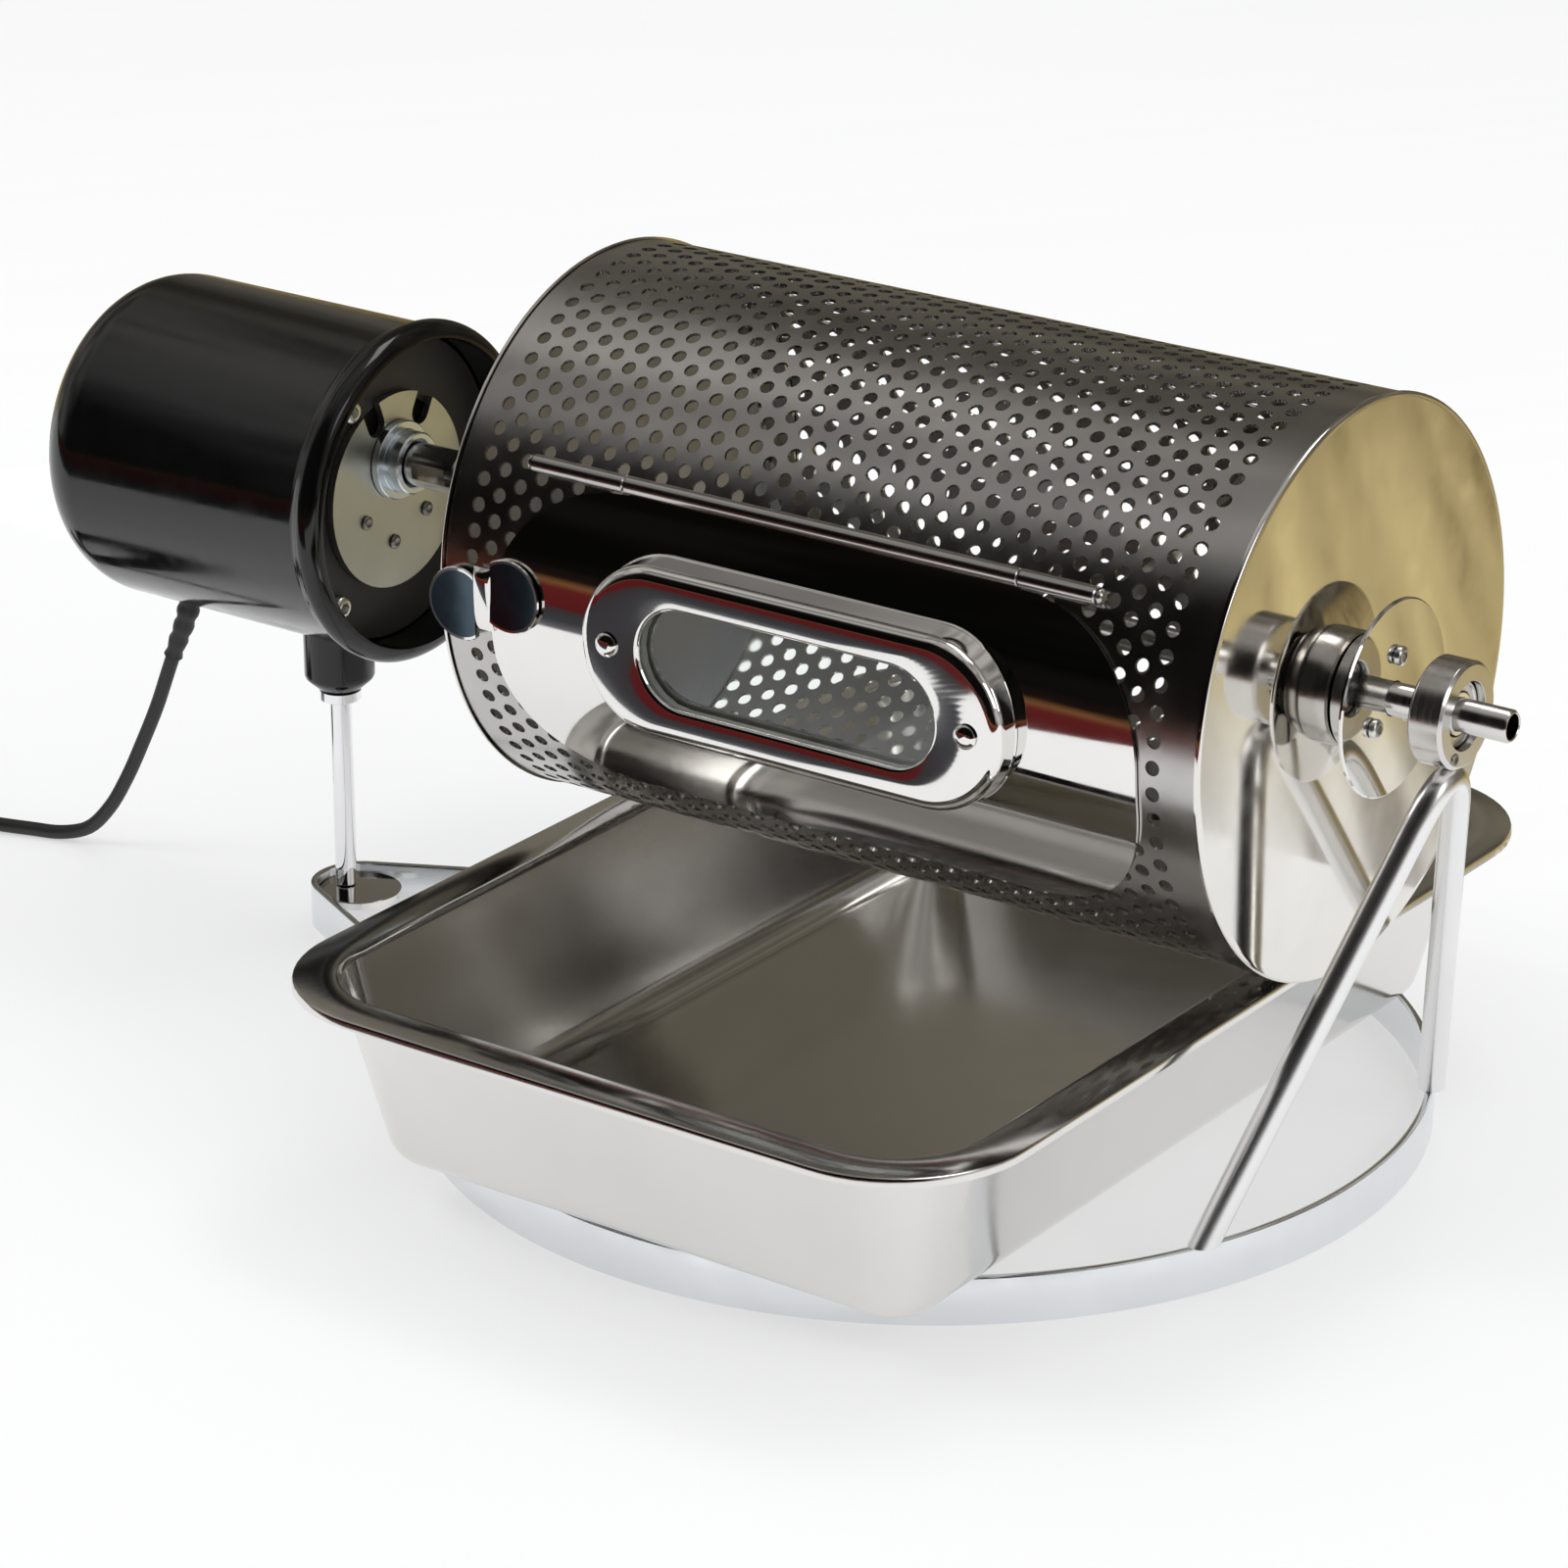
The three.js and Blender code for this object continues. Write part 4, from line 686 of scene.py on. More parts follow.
def make_housing():
    """A deep cup with a rolled lip, a socket below for the post and three ribs for the plate."""
    lip, mouth, body, wall, rear_round = 45.75, 41.4, 43.6, 2.3, 16.5
    lip_width = lip - mouth
    rear = HOUSING_BACK + rear_round
    profile = (arc(HOUSING_FRONT - lip_width, lip - lip_width, lip_width, 0, 90, 10)
               + [(HOUSING_FRONT - 5.2, lip - 0.1), (HOUSING_FRONT - 6.4, lip - 0.7),
                  (HOUSING_FRONT - 8, body + 0.5), (HOUSING_FRONT - 9.6, body)]
               + arc(rear, body - rear_round, rear_round, 90, 180, 14)
               + [(HOUSING_BACK, 0), (HOUSING_BACK + wall, 0)]
               + arc(rear, body - rear_round, rear_round - wall, 180, 90, 8)
               + [(HOUSING_FRONT - 9, mouth)])
    rib = [(-199.2, 1.8), (-199.2, 5), (-185.1, 5), (-185.1, 1.8)]
    cup = joined(turned(profile), *(shifted(turned(rib, 32), (0, y, z)) for y, z in PLATE_SCREWS))
    finished("motor_cup", cup, "frame", housing_black, "black_gloss", "motor_housing", at=ON_MOTOR)
    socket = upright(turned([
        (67.5, 3.2), (67.5, 5.6), (67.8, 6.1), (70.6, 9.1), (71.4, 9.45), (72.2, 9.5), (88, 9.5),
        (88, 3.2)], 64))
    cut_off(socket, (0, 0, 87), (0, 0, 1), filled=True)
    finished("post_socket", socket, "frame", housing_black, "black_gloss", at=POST_PLACE)


def make_gearmotor():
    """The housing's plate, the gearbox's front and bush, and the coupling's sleeve."""
    softened("mounting_plate", "motor_plate", "frame", plate_black, "black_paint", 0.2)
    for number, (y, z) in enumerate(PLATE_SCREWS, 1):
        finished(f"mounting_screw_{number}", screw(3.2, 2.3, 1.5, 9), "frame", screw_zinc, "zinc",
                 f"plate_screw_{number}", at=(-182.5, y, MOTOR_Z + z), edge=0.1)
    softened("gearbox_front", "gear_face_plate", "frame", zinc_plate, "zinc", 0.3)
    rivet = [(-188, 0), (-188, 1.1), (-180.2, 1.1), (-180.2, 1.9), (-179.9, 1.9), (-179.6, 1.6),
             (-179.5, 1.1), (-179.75, 0.7), (-179.8, 0)]
    for number, angle in enumerate(GEAR_RIVETS, 1):
        y, z = spot_on_circle(14.5, angle)
        round_piece(f"gearbox_rivet_{number}", rivet, "frame", rivet_steel, "zinc",
                    f"gear_rivet_{number}", at=(0, y, MOTOR_Z + z), segments=32)
    round_piece("gearbox_bush", [
        (-180.2, 4.1), (-180.2, 10.6), (-178.5, 10.6), (-178.2, 10.3), (-178.2, 8.5), (-178, 8.3),
        (-173.9, 8.3), (-173.5, 7.9), (-173.5, 6.7), (-173.8, 6.4), (-177.3, 6.4), (-177.3, 4.1)],
        "frame", bush_metal, "turned_steel", "output_bushing", segments=96)
    softened("slotted_sleeve", "coupling_sleeve", "output", *TURNED, 0.3)


def make_bearing():
    """The holder and its screw, and the ball bearing's two rings."""
    round_piece("bearing_holder", [
        (129.2, 6.9), (129.5, 6.6), (130.6, 6.6), (130.9, 6.9), (130.9, 8.3), (138.2, 8.3),
        (138.2, 12.2), (137.4, HOLDER_RADIUS), (130, HOLDER_RADIUS), (129.2, 12.2)],
        "frame", *TURNED, "bearing_housing", edge=0.15)
    y, z = spot_on_circle(10.6, 240)
    round_piece("holder_screw", [
        (133.2, 0), (133.2, 1.5), (138.4, 1.5), (138.6, 1.3), (138.6, 0.8), (138.1, 0.75), (138.1, 0)],
        "frame", rivet_steel, "zinc", "bearing_screw", at=(0, y, AXIS_Z + z), segments=32)
    round_piece("outer_race", [
        (131.2, 7.95), (136, 7.95), (136.2, 7.75), (136.2, 7.2), (135.9, 7), (135.8, 5.6),
        (135.5, 5.6), (135.5, 6.9), (131.6, 6.9), (131.6, 5.6), (131.2, 5.6)],
        "frame", *TURNED, "bearing_outer_race")
    round_piece("inner_race", [
        (131.2, 4.1), (131.2, 5), (131.4, 5.15), (136, 5.15), (136.2, 5), (136.2, 4.1)],
        "bearing_ring", chrome, "turned_steel", "bearing_inner_race")


make_tray()
make_housing()
make_gearmotor()
make_bearing()


# Drum
def make_caps():
    """Pressed end plates with a rolled rim and a collar inside the shell."""
    back, collar_end, collar_outside, collar_inside = 107.8, 101.5, 68.9, 68.1
    profile = [(DRUM_END, BORE), (DRUM_END, 30), (DRUM_END, 69),
               *arc(108.2, 69.8, 0.8, 0, 90, 5), (back, 70.6), (back, collar_outside),
               (collar_end, collar_outside), (collar_end, collar_inside), (back, collar_inside),
               (back, BORE)]
    drive = round_piece("drive_side_cap", [(-x, radius) for x, radius in profile], "drum",
                        cap_steel, "mirror_steel", "drive_end_cap")
    second_finish(drive, dull_steel, ON_AXIS,
                  lambda spot: spot.x > -108 and hypot(spot.y, spot.z) < 68.5)
    round_piece("bearing_side_cap", profile, "drum", cap_steel, "mirror_steel", "bearing_end_cap")


def make_hubs():
    """The hub on each cap, and the round plate with its screws outside the bearing end's hub."""
    round_piece("drive_side_hub", [
        (-109.3, BORE), (-109.3, 11.6), (-109.7, 12), (-118.1, 12), (-118.8, 11.3), (-118.8, 4.6),
        (-118.5, BORE)], "drum", *TURNED, "drive_hub")
    round_piece("bearing_side_hub", [
        (109.3, BORE), (109.3, 13.5), (109.8, 14), (116.8, 14), (117.2, 13.6), (117.2, BORE)],
        "drum", *TURNED, "bearing_hub")
    round_piece("round_plate", [
        (117.5, BORE), (117.5, 23.6), (117.8, 24), (118.3, 24), (118.7, 23.6), (118.7, BORE)],
        "drum", *MIRROR, "shaft_disc")
    for number in (1, 2, 3):
        y, z = spot_on_circle(10.5, 120 * number - 35)
        finished(f"plate_cap_screw_{number}", screw(2.4, 1.6, 1.4, 6.5, socket=0.55), "drum",
                 screw_zinc, "zinc", f"disc_screw_{number}", at=(119, y, AXIS_Z + z), edge=0.08)


def make_shaft():
    """The shaft through the drum, with a recess in its outer end and a tongue at the coupling."""
    tongue_end, tongue_half, step = -157.7, 1.9, 0.05
    form = turned([(-162, 0), (-162, 3.7), (-161.7, SHAFT_RADIUS), (tongue_end, SHAFT_RADIUS),
                   (tongue_end + step, SHAFT_RADIUS), (149.3, SHAFT_RADIUS), (150, 3.5),
                   (150, 3.3), (149.8, 3.1), (144.6, 3.1), (144.2, 2.7), (143.9, 0)], 64)
    for vert in form.verts:
        if vert.co.x < tongue_end + step / 2:
            vert.co.z = max(-tongue_half, min(tongue_half, vert.co.z))
    shaft = finished("through_shaft", form, "drum", *TURNED, "drum_shaft", at=ON_AXIS)
    # The recess inside the shaft's outer end is painted near-black as painted shade.
    second_finish(shaft, bore_black, ON_AXIS,
                  lambda spot: spot.x > 143 and hypot(spot.y, spot.z) < 3.15)


make_caps()
make_hubs()
make_shaft()


# The shell's holes stand in columns, each turned half a step against the last
HOLE_RADIUS = 1.9
HOLE_COLUMNS = 36
HOLE_ROWS = 68
HOLE_FREE_EDGE = 4.2
COLUMN_PITCH = 5.6
FIRST_COLUMN = -99.5
ROW_PITCH = tau * DRUM_RADIUS / HOLE_ROWS
DOOR = {"half_x": 92.7, "half_arc": 40, "corner": 36, "centre": -5.75, "lap": 5, "radius": 70.3}
DOOR_ARC = radians(DOOR["centre"]) * DRUM_RADIUS


def door_loop(inset, steps):
    """The door's outline on the flat sheet, drawn in by a margin."""
    return [(x, y + DOOR_ARC, 0) for x, y in rounded_rectangle(
        DOOR["half_x"] - inset, DOOR["half_arc"] - inset, DOOR["corner"] - inset, steps)]


def inside_door(x, y, margin):
    """True where a place on the flat sheet is within the door's opening and a margin round it."""
    corner = DOOR["corner"]
    across = max(0, abs(x) - (DOOR["half_x"] - corner))
    along = max(0, abs(y - DOOR_ARC) - (DOOR["half_arc"] - corner))
    return hypot(across, along) < corner - DOOR["lap"] + margin


def column_x(column):
    return FIRST_COLUMN + column * COLUMN_PITCH


def column_start(column):
    """The arc at which a column's first hole stands on the flat sheet."""
    return -pi * DRUM_RADIUS + ROW_PITCH * (0.5 + (column % 2) / 2)


def hole_cell(form):
    """One hole in its oblong piece of sheet, with the hole's own edges marked as seams."""
    side, half = COLUMN_PITCH / 2, ROW_PITCH / 2
    edge_points = [(side, half * i / 2) for i in range(-2, 3)] + [(0, half)]
    outline = edge_points + [(-x, -y) for x, y in edge_points]
    outline = [(x, y, 0) for x, y in sorted(outline, key=lambda p: atan2(p[1], p[0]))]
    outer = loop_edges(form, outline)
    circle = bmesh.ops.create_circle(form, segments=len(outline), radius=HOLE_RADIUS)
    inner = edges_at(circle["verts"])
    for edge in inner:
        edge.seam = True
    bmesh.ops.bridge_loops(form, edges=outer + inner)


def hole_columns():
    """The whole flat sheet of holes: one cell repeated to a column, and the column along X."""
    form = bmesh.new()
    hole_cell(form)
    first = everything(form)
    for row in range(1, HOLE_ROWS):
        copy = bmesh.ops.duplicate(form, geom=first)["geom"]
        bmesh.ops.translate(form, verts=verts_in(copy), vec=(0, ROW_PITCH * row, 0))
    merge(form, 0.01)
    mesh = mesh_from("column", form)
    columns = bmesh.new()
    for column in range(HOLE_COLUMNS):
        start = len(columns.verts)
        columns.from_mesh(mesh)
        columns.verts.ensure_lookup_table()
        bmesh.ops.translate(columns, verts=columns.verts[start:],
                            vec=(column_x(column), column_start(column), 0))
    bpy.data.meshes.remove(mesh)
    merge(columns, 0.01)
    return columns


def make_shell():
    """The sheet of holes with the door's opening and two plain end margins, rolled up."""
    sheet = hole_columns()
    lost = []
    for face in sheet.faces:
        middle = face.calc_center_median()
        column = round((middle.x - FIRST_COLUMN) / COLUMN_PITCH)
        row = round((middle.y - column_start(column)) / ROW_PITCH)
        if inside_door(column_x(column), column_start(column) + row * ROW_PITCH, HOLE_FREE_EDGE):
            lost.append(face)
    bmesh.ops.delete(sheet, geom=lost, context="FACES")
    ends_from, opening_reach = 98, 90
    near = [e for e in sheet.edges if e.is_boundary and not e.seam
            and abs(e.verts[0].co.x) < ends_from
            and abs((e.verts[0].co.y + e.verts[1].co.y) / 2) < opening_reach]
    opening = loop_edges(sheet, door_loop(DOOR["lap"], 24))
    bmesh.ops.triangle_fill(sheet, edges=near + opening, use_beauty=True, normal=(0, 0, 1))
    for end in (-1, 1):
        side = [e for e in sheet.edges if e.is_boundary and not e.seam
                and all(end * vert.co.x > ends_from for vert in e.verts)
                and abs(e.verts[0].co.x - e.verts[1].co.x) < 0.01]
        strip = bmesh.ops.extrude_edge_only(sheet, edges=side)["geom"]
        for vert in verts_in(strip):
            vert.co.x = end * SHELL_END
    roll(sheet, DRUM_RADIUS)
    merge(sheet, 0.02)
    mend_normals(sheet)
    top = max(sheet.faces, key=lambda face: face.calc_center_median().z)
    if top.normal.z < 0:
        bmesh.ops.reverse_faces(sheet, faces=sheet.faces)
    finished("perforated_shell", sheet, "drum", drum_steel, "perforated_steel", "drum_shell",
             at=ON_AXIS, wall=SHEET)


make_shell()


# Hinge and door
HINGE_ANGLE = radians(29)
HINGE_CIRCLE = 72.5
HINGE = (0, -HINGE_CIRCLE * cos(HINGE_ANGLE), AXIS_Z + HINGE_CIRCLE * sin(HINGE_ANGLE))
LEAF_HALF = 56
LEAF_HEIGHT = 1.3
TO_FRONT = Vector((0, -1, 0))
DOOR_FACE = DOOR["radius"] + SHEET
SEAT = DOOR_FACE + 0.15
RIVET_X = 51.5
FRAME_FACE = 78.3
FRAME_HALF = (60.5, 21.5)
GLASS_HALF = (42.5, 12.5)


def hinge_tube(start, end, chamfer):
    bore, outside = 1.3, 2.2
    return [(start, bore), (start, outside - chamfer), (start + chamfer, outside),
            (end - chamfer, outside), (end, outside - chamfer), (end, bore)]


def make_hinge():
    """The wire with a rounded head at each end, and the knuckles on the shell."""
    left, right = -84, 77
    head = ((1.6, 0), (1.6, 1.2), (1.1, 1.75), (0.8, 1.9), (0.5, 1.8), (0.3, 1.2))
    pin = ([(left - past, radius) for past, radius in head]
           + [(right + past, radius) for past, radius in reversed(head)])
    round_piece("hinge_wire", pin, "drum", drum_steel, "perforated_steel", "hinge_pin",
                at=HINGE, segments=32)
    for side, start, end in (("left", left, -LEAF_HALF - GAP), ("right", LEAF_HALF + GAP, right)):
        round_piece(f"{side}_knuckle", hinge_tube(start, end, 0.3), "drum", drum_steel,
                    "perforated_steel", f"hinge_knuckle_{side}", at=HINGE, segments=SMALL_SEGMENTS)


def window_outline():
    """The window's opening, which looks straight from the front, laid out on the flat sheet."""
    return [(x, DRUM_RADIUS * asin(z / DRUM_RADIUS), 0) for x, z in obround(42.8, 12.8)]


def make_door_plate():
    """One bent mirror sheet whose top edge runs on into the rolled hinge barrel."""
    rows = 60
    low, top = DOOR_ARC - DOOR["half_arc"], DOOR_ARC + DOOR["half_arc"]
    leaf_top = top + LEAF_HEIGHT
    outline = door_loop(0, 28)
    start = next(i for i, (x, y, _) in enumerate(outline) if y < top - 0.001 and x < 0)
    leaf = [(LEAF_HALF, top, 0), (LEAF_HALF, leaf_top, 0), (-LEAF_HALF, leaf_top, 0),
            (-LEAF_HALF, top, 0)]
    outline = outline[:start - 1] + leaf + outline[start - 1:]
    form = bmesh.new()
    edges = loop_edges(form, outline) + loop_edges(form, window_outline())
    for place in (-RIVET_X, RIVET_X):
        edges += loop_edges(form, [(x, y, 0) for x, y in arc(place, 0, 1.9, 0, 345, 23)])
    bmesh.ops.triangle_fill(form, edges=edges, use_beauty=True, normal=(0, 0, 1))
    for i in range(1, rows):
        bmesh.ops.bisect_plane(form, geom=everything(form), dist=0.0001, plane_no=(0, 1, 0),
                               plane_co=(0, low + (leaf_top - low) * i / rows, 0))
    roll(form, DOOR_FACE)
    face_towards(form, TO_FRONT)
    finished("door_sheet", form, "door", *MIRROR, "door_plate", at=ON_AXIS, wall=SHEET)
    round_piece("door_hinge_barrel", hinge_tube(-LEAF_HALF, LEAF_HALF, 0.2), "door", drum_steel,
                "mirror_steel", at=HINGE, segments=SMALL_SEGMENTS)


def on_drum(x, distance, z):
    """A place at a height, in front of the drum's axis, at a distance from that axis."""
    return (x, -sqrt(distance ** 2 - z ** 2), z)


def frame_loop(inset, distance):
    return [(x, -distance, z) for x, z in obround(FRAME_HALF[0] - inset, FRAME_HALF[1] - inset, 32)]


def seat_loop(inset, radius):
    return [on_drum(x, radius, z) for x, _, z in frame_loop(inset, 0)]


def glass_loop(grow, distance):
    return [(x, -distance, z) for x, z in obround(GLASS_HALF[0] + grow, GLASS_HALF[1] + grow, 32)]


def make_window():
    """The frame is one pressed dish; its outer edge is well rounded and its inner edge rolled."""
    rounding, sheet = 3.2, 1.0
    hollow = rounding - sheet
    outer = [seat_loop(-0.5, SEAT), seat_loop(-0.1, SEAT + 0.2), seat_loop(0, SEAT + 0.55)]
    outer += [frame_loop(rounding * (1 - cos(a)), FRAME_FACE - rounding * (1 - sin(a)))
              for a in (radians(10 * i) for i in range(10))]
    face = [glass_loop(1.1, FRAME_FACE), glass_loop(0.55, FRAME_FACE - 0.12),
            glass_loop(0.15, FRAME_FACE - 0.5), glass_loop(0, FRAME_FACE - sheet)]
    behind = FRAME_FACE - sheet
    back = [glass_loop(1.1, behind), frame_loop(rounding, behind)]
    back += [frame_loop(sheet + hollow * (1 - cos(a)), behind - hollow * (1 - sin(a)))
             for a in (radians(60), radians(30), 0)]
    back.append(seat_loop(sheet, SEAT))
    finished("window_surround", lofted(outer + face + back, around=True), "door", *MIRROR,
             "window_frame", at=ON_AXIS)
    front, thick, lap, chamfer = behind - GAP, 3, 5.5, 0.4
    pane = lofted([glass_loop(lap - chamfer, front - thick),
                   glass_loop(lap, front - thick + chamfer), glass_loop(lap, front - chamfer),
                   glass_loop(lap - chamfer, front)], ends=True)
    finished("window_pane", pane, "door", clear_glass, "glass", "window_glass", at=ON_AXIS)
    head = ((GAP, 1.6), (0.1, 3), (0.6, 3), (1.1, 2.6), (1.45, 1.8), (1.58, 0.9), (1.6, 0))
    rivet = [(68.8, 0), (68.8, 2.6), (69.2, 3), (69.6, 3), (69.6, 1.6),
             *((FRAME_FACE + out, radius) for out, radius in head)]
    for side, place in (("left", -RIVET_X), ("right", RIVET_X)):
        finished(f"frame_rivet_{side}", to_front(turned(rivet, SMALL_SEGMENTS)), "door",
                 *MIRROR, f"window_rivet_{side}", at=(place, 0, AXIS_Z))


# The latch is a sprung clip: two dished wings either side of a raised rib
LATCH_PLACE = (-94.5, 0, AXIS_Z + 0.3)
LATCH_DISH = 0.75
LATCH_RIM_DROP = 0.35
LATCH_SHEET = 0.6
RIB_HALF = 2.8
RIB_REACH = 8
# For each wing: its side, how far out it stands, its half width, its half height and its height
WINGS = ((1, 7.8, 9.9, 9.3, 2.3), (-1, 7.2, 9.3, 9.6, -2.6))


def make_wing(side, reach, half_width, half_height, z):
    """A dish with a rim, cut off at the rib and bent round the drum."""
    form = lofted([
        [(x * share * half_width + side * reach, y * share * half_height + z,
          LATCH_DISH * share ** 2 - (LATCH_RIM_DROP if share == 1 else 0))
         for x, y in arc(0, 0, 1, 0, 355, 71)]
        for share in (1.0, 0.97, 0.9, 0.8, 0.68, 0.54, 0.38, 0.2)])
    close_level(form, 0, 0.2)
    cut_off(form, (side * (RIB_HALF - 0.3), 0, 0), (-side, 0, 0))
    for vert in form.verts:
        vert.co = on_drum(vert.co.x, SEAT + LATCH_SHEET + vert.co.z, vert.co.y)
    mend_normals(form)
    face_towards(form, TO_FRONT)
    return form


# The dish centres, within 0.88 of each wing's outline, which get the painted reflection colour.
def in_painted_dish(spot):
    return any(side * spot.x > 0 and hypot(
        (spot.x - side * reach) / half_width, (spot.z - z) / half_height) < 0.88
        for side, reach, half_width, half_height, z in WINGS)


def make_latch():
    wings = [make_wing(*wing) for wing in WINGS]
    clip = finished("latch_wings", joined(*wings), "latch", *MIRROR, "latch_clip",
                    at=LATCH_PLACE, wall=LATCH_SHEET)
    # The dish centres get the dark blue-grey painted reflection; the rims stay mirror steel.
    second_finish(clip, latch_steel, LATCH_PLACE, in_painted_dish)
    rib = bmesh.new()
    bmesh.ops.create_grid(rib, x_segments=18, y_segments=18, size=1)
    for vert in rib.verts:
        across, along = vert.co.x, vert.co.y
        swell = max(0, 1 - across ** 2) ** 0.4 * max(0, 1 - along ** 6) ** 0.5
        height = 0.5 + (0.95 + 0.65 * along) * swell
        vert.co = on_drum(RIB_HALF * across, SEAT + height, RIB_REACH * along)
    mend_normals(rib)
    face_towards(rib, TO_FRONT)
    finished("latch_rib", rib, "latch", *MIRROR, at=LATCH_PLACE, wall=LATCH_SHEET)


make_hinge()
make_door_plate()
make_window()
make_latch()


# CAD pieces that keep their shape
KEPT_FINISHES = {
    "window_gasket": silicone, "gear_case": plate_black, "motor_can": motor_metal,
    "output_shaft": chrome, "bearing_ball_cage": chrome,
    **{f"mixing_vane_{number}": vane_steel for number in (1, 2, 3)}}
for node_name, material in KEPT_FINISHES.items():
    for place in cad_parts[node_name].material_slots:
        place.material = material


# Stage, in metres: a pale floor, a dark dome for the steel to mirror, and soft lamps
ROOM_REACH = 2.4
ROOM_RADIUS = 2.5
WALLS_FROM = 0.002
BOARDS_Z = 0.0012


def staged(name, form, material):
    mesh = mesh_from(name, form)
    mesh.materials.append(material)
    thing = linked(name, mesh)
    return thing


def seen_directly(tree):
    """1 for what the camera, a mirror or the glass shows, and 0 where a surface is being lit."""
    rays = tree.nodes.new("ShaderNodeLightPath").outputs
    value = rays["Is Camera Ray"]
    for kind in ("Is Glossy Ray", "Is Transmission Ray"):
        value = add_node(tree, "ShaderNodeMath", {0: value, 1: rays[kind]}, operation="MAXIMUM")
    return value


def make_floor():
    """A white floor that shows half white of its own, so that shadows on it stay pale."""
    finish = Finish("floor_white", (0.93, 0.93, 0.93), 0.7)
    finish.shader.inputs["Specular IOR Level"].default_value = 0.2
    tree = finish.tree
    mix = add_node(tree, "ShaderNodeMixShader", {
        "Fac": finish.ranged(seen_directly(tree), 0, 0.5, 0, 1),
        1: finish.shader.outputs["BSDF"], 2: add_node(tree, "ShaderNodeEmission", {})})
    tree.links.new(mix, tree.nodes["Material Output"].inputs["Surface"])
    form = bmesh.new()
    bmesh.ops.create_grid(form, x_segments=1, y_segments=1, size=8)
    staged("floor", form, finish.material)


def glowing(name, stops, streaks=None):
    """Light that only reflections see: colours at metres along Y, maybe streaked."""
    material = bpy.data.materials.new(name)
    material.use_nodes = True
    tree = material.node_tree
    tree.nodes.clear()
    place = tree.nodes.new("ShaderNodeTexCoord").outputs["Object"]
    first, last = stops[0][0], stops[-1][0]
    along = add_node(tree, "ShaderNodeVectorMath", {0: place, 1: (0, 1, 0)},
                     operation="DOT_PRODUCT")
    colour = add_node(tree, "ShaderNodeValToRGB", {"Fac": add_node(
        tree, "ShaderNodeMapRange", {"Value": along, "From Min": first, "From Max": last})})
    points = colour.node.color_ramp.elements
    for distance, _ in stops[1:-1]:
        points.new((distance - first) / (last - first))
    for point, (_, shade) in zip(points, stops):
        point.color = (*shade, 1)
    if streaks:
        tint, lengths, amount = streaks
        turn = add_node(tree, "ShaderNodeMapping", {
            "Vector": place, "Rotation": (0, 0, -0.62), "Scale": lengths}, vector_type="TEXTURE")
        noise = add_node(tree, "ShaderNodeTexNoise", {
            "Vector": turn, "Scale": 1, "Detail": 2})
        limits = add_node(tree, "ShaderNodeMapRange", {
            "Value": noise, "From Min": 0.42, "From Max": 0.62, "To Max": amount})
        colour = add_node(tree, "ShaderNodeMix", {
            "Factor": limits, "A": colour, "B": (*tint, 1)},
            data_type="RGBA", blend_type="MULTIPLY")
    add_node(tree, "ShaderNodeOutputMaterial", {
        "Surface": add_node(tree, "ShaderNodeEmission", {"Color": colour})})
    return material


def mirrored_only(thing):
    with_settings(thing, visible_camera=False, visible_diffuse=False, visible_shadow=False,
                  visible_transmission=False)


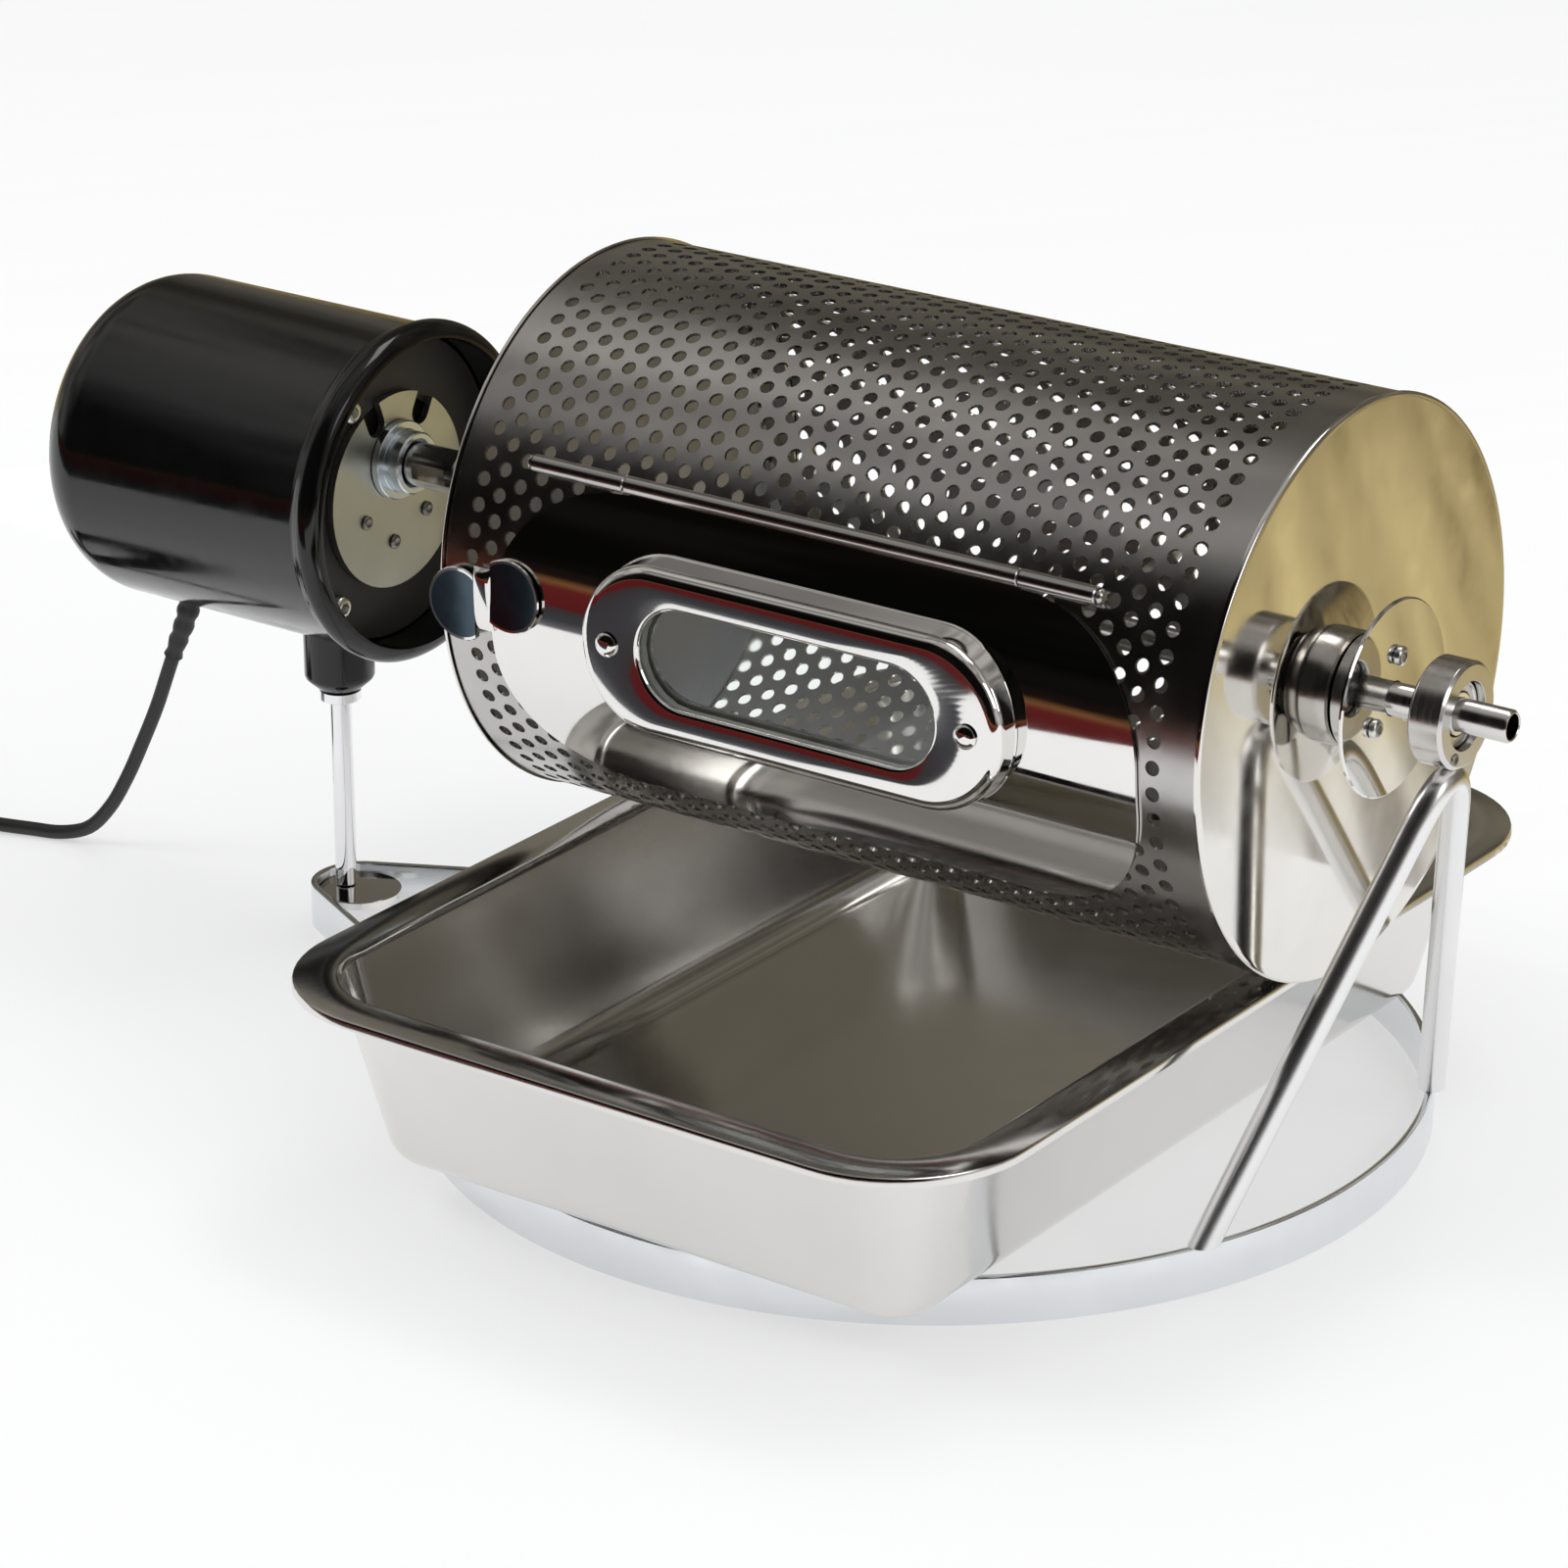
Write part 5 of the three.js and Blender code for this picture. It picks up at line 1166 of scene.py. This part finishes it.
def make_room():
    """What only reflections see: a dark dome, and coloured sheets on the floor before and behind."""
    walls = glowing("room_walls", [
        (-2.5, (0.004, 0.004, 0.004)), (-1.45, (0.008, 0.007, 0.006)), (-1.0, (0.44, 0.43, 0.42)),
        (0.0, (0.56, 0.54, 0.52)), (1.2, (0.22, 0.205, 0.175)), (2.5, (0.16, 0.14, 0.10))],
        ((0.25, 0.25, 0.25), (0.45, 0.7, 0.6), 0.8))
    form = bmesh.new()
    bmesh.ops.create_uvsphere(form, u_segments=48, v_segments=24, radius=ROOM_RADIUS)
    cut_off(form, (0, 0, WALLS_FROM), (0, 0, -1))
    mirrored_only(staged("room", form, walls))
    front = glowing("front_boards", [
        (-2.4, (0.004, 0.004, 0.004)), (-1.1, (0.01, 0.006, 0.005)), (-0.85, (0.17, 0.075, 0.03)),
        (-0.70, (0.11, 0.015, 0.014)), (-0.43, (0.10, 0.012, 0.013)), (-0.41, (0.04, 0.035, 0.038)),
        (-0.33, (0.05, 0.05, 0.055)), (-0.29, (0.13, 0.13, 0.14))])
    back = glowing("back_boards", [
        (0.20, (0.90, 0.90, 0.89)), (0.28, (0.84, 0.80, 0.68)), (0.33, (0.80, 0.66, 0.33)),
        (0.6, (0.50, 0.40, 0.20)), (2.4, (0.03, 0.025, 0.02))],
        ((0.26, 0.23, 0.20), (0.014, 0.5, 1), 0.85))
    for name, material, low_x, low_y, high_x, high_y in (
            ("left_floor", front, -ROOM_REACH, -ROOM_REACH, -0.10, -0.29),
            ("front_floor", front, -0.10, -ROOM_REACH, ROOM_REACH, -0.56),
            ("back_floor", back, -ROOM_REACH, 0.20, ROOM_REACH, ROOM_REACH)):
        form = bmesh.new()
        bmesh.ops.create_grid(form, x_segments=1, y_segments=1, size=0.5)
        bmesh.ops.scale(form, verts=form.verts, vec=(high_x - low_x, high_y - low_y, 1))
        shifted(form, ((low_x + high_x) / 2, (low_y + high_y) / 2, BOARDS_Z))
        mirrored_only(staged(name, form, material))


def make_world():
    world = bpy.data.worlds.new("world")
    bpy.context.scene.world = world
    world.use_nodes = True
    tree = world.node_tree
    tree.nodes.clear()
    soft = add_node(tree, "ShaderNodeBackground", {"Color": (0.97, 0.98, 1.0, 1), "Strength": 0.82})
    white = add_node(tree, "ShaderNodeBackground", {"Color": (1, 1, 1, 1)})
    add_node(tree, "ShaderNodeOutputWorld", {"Surface": add_node(
        tree, "ShaderNodeMixShader", {"Fac": seen_directly(tree), 1: soft, 2: white})})


def add_lamp(name, place, size, watts, mirrored):
    heading = Vector((0, 0, 0.1)) - Vector(place)
    data = with_settings(bpy.data.lights.new(name, "AREA"), shape="RECTANGLE", size=size[0],
                         size_y=size[1], energy=watts)
    with_settings(linked(name, data), location=place, visible_glossy=mirrored,
                  rotation_euler=heading.to_track_quat("-Z", "Y").to_euler())


make_floor()
make_room()
make_world()
add_lamp("key_lamp", (-0.9, -0.9, 1.6), (0.7, 0.7), 7, False)
add_lamp("top_lamp", (0.3, 0.6, 1.9), (1.1, 0.5), 6, True)
add_lamp("side_lamp", (1.5, -0.3, 0.9), (0.5, 0.8), 3, True)
bpy.context.scene.view_settings.view_transform = "Standard"
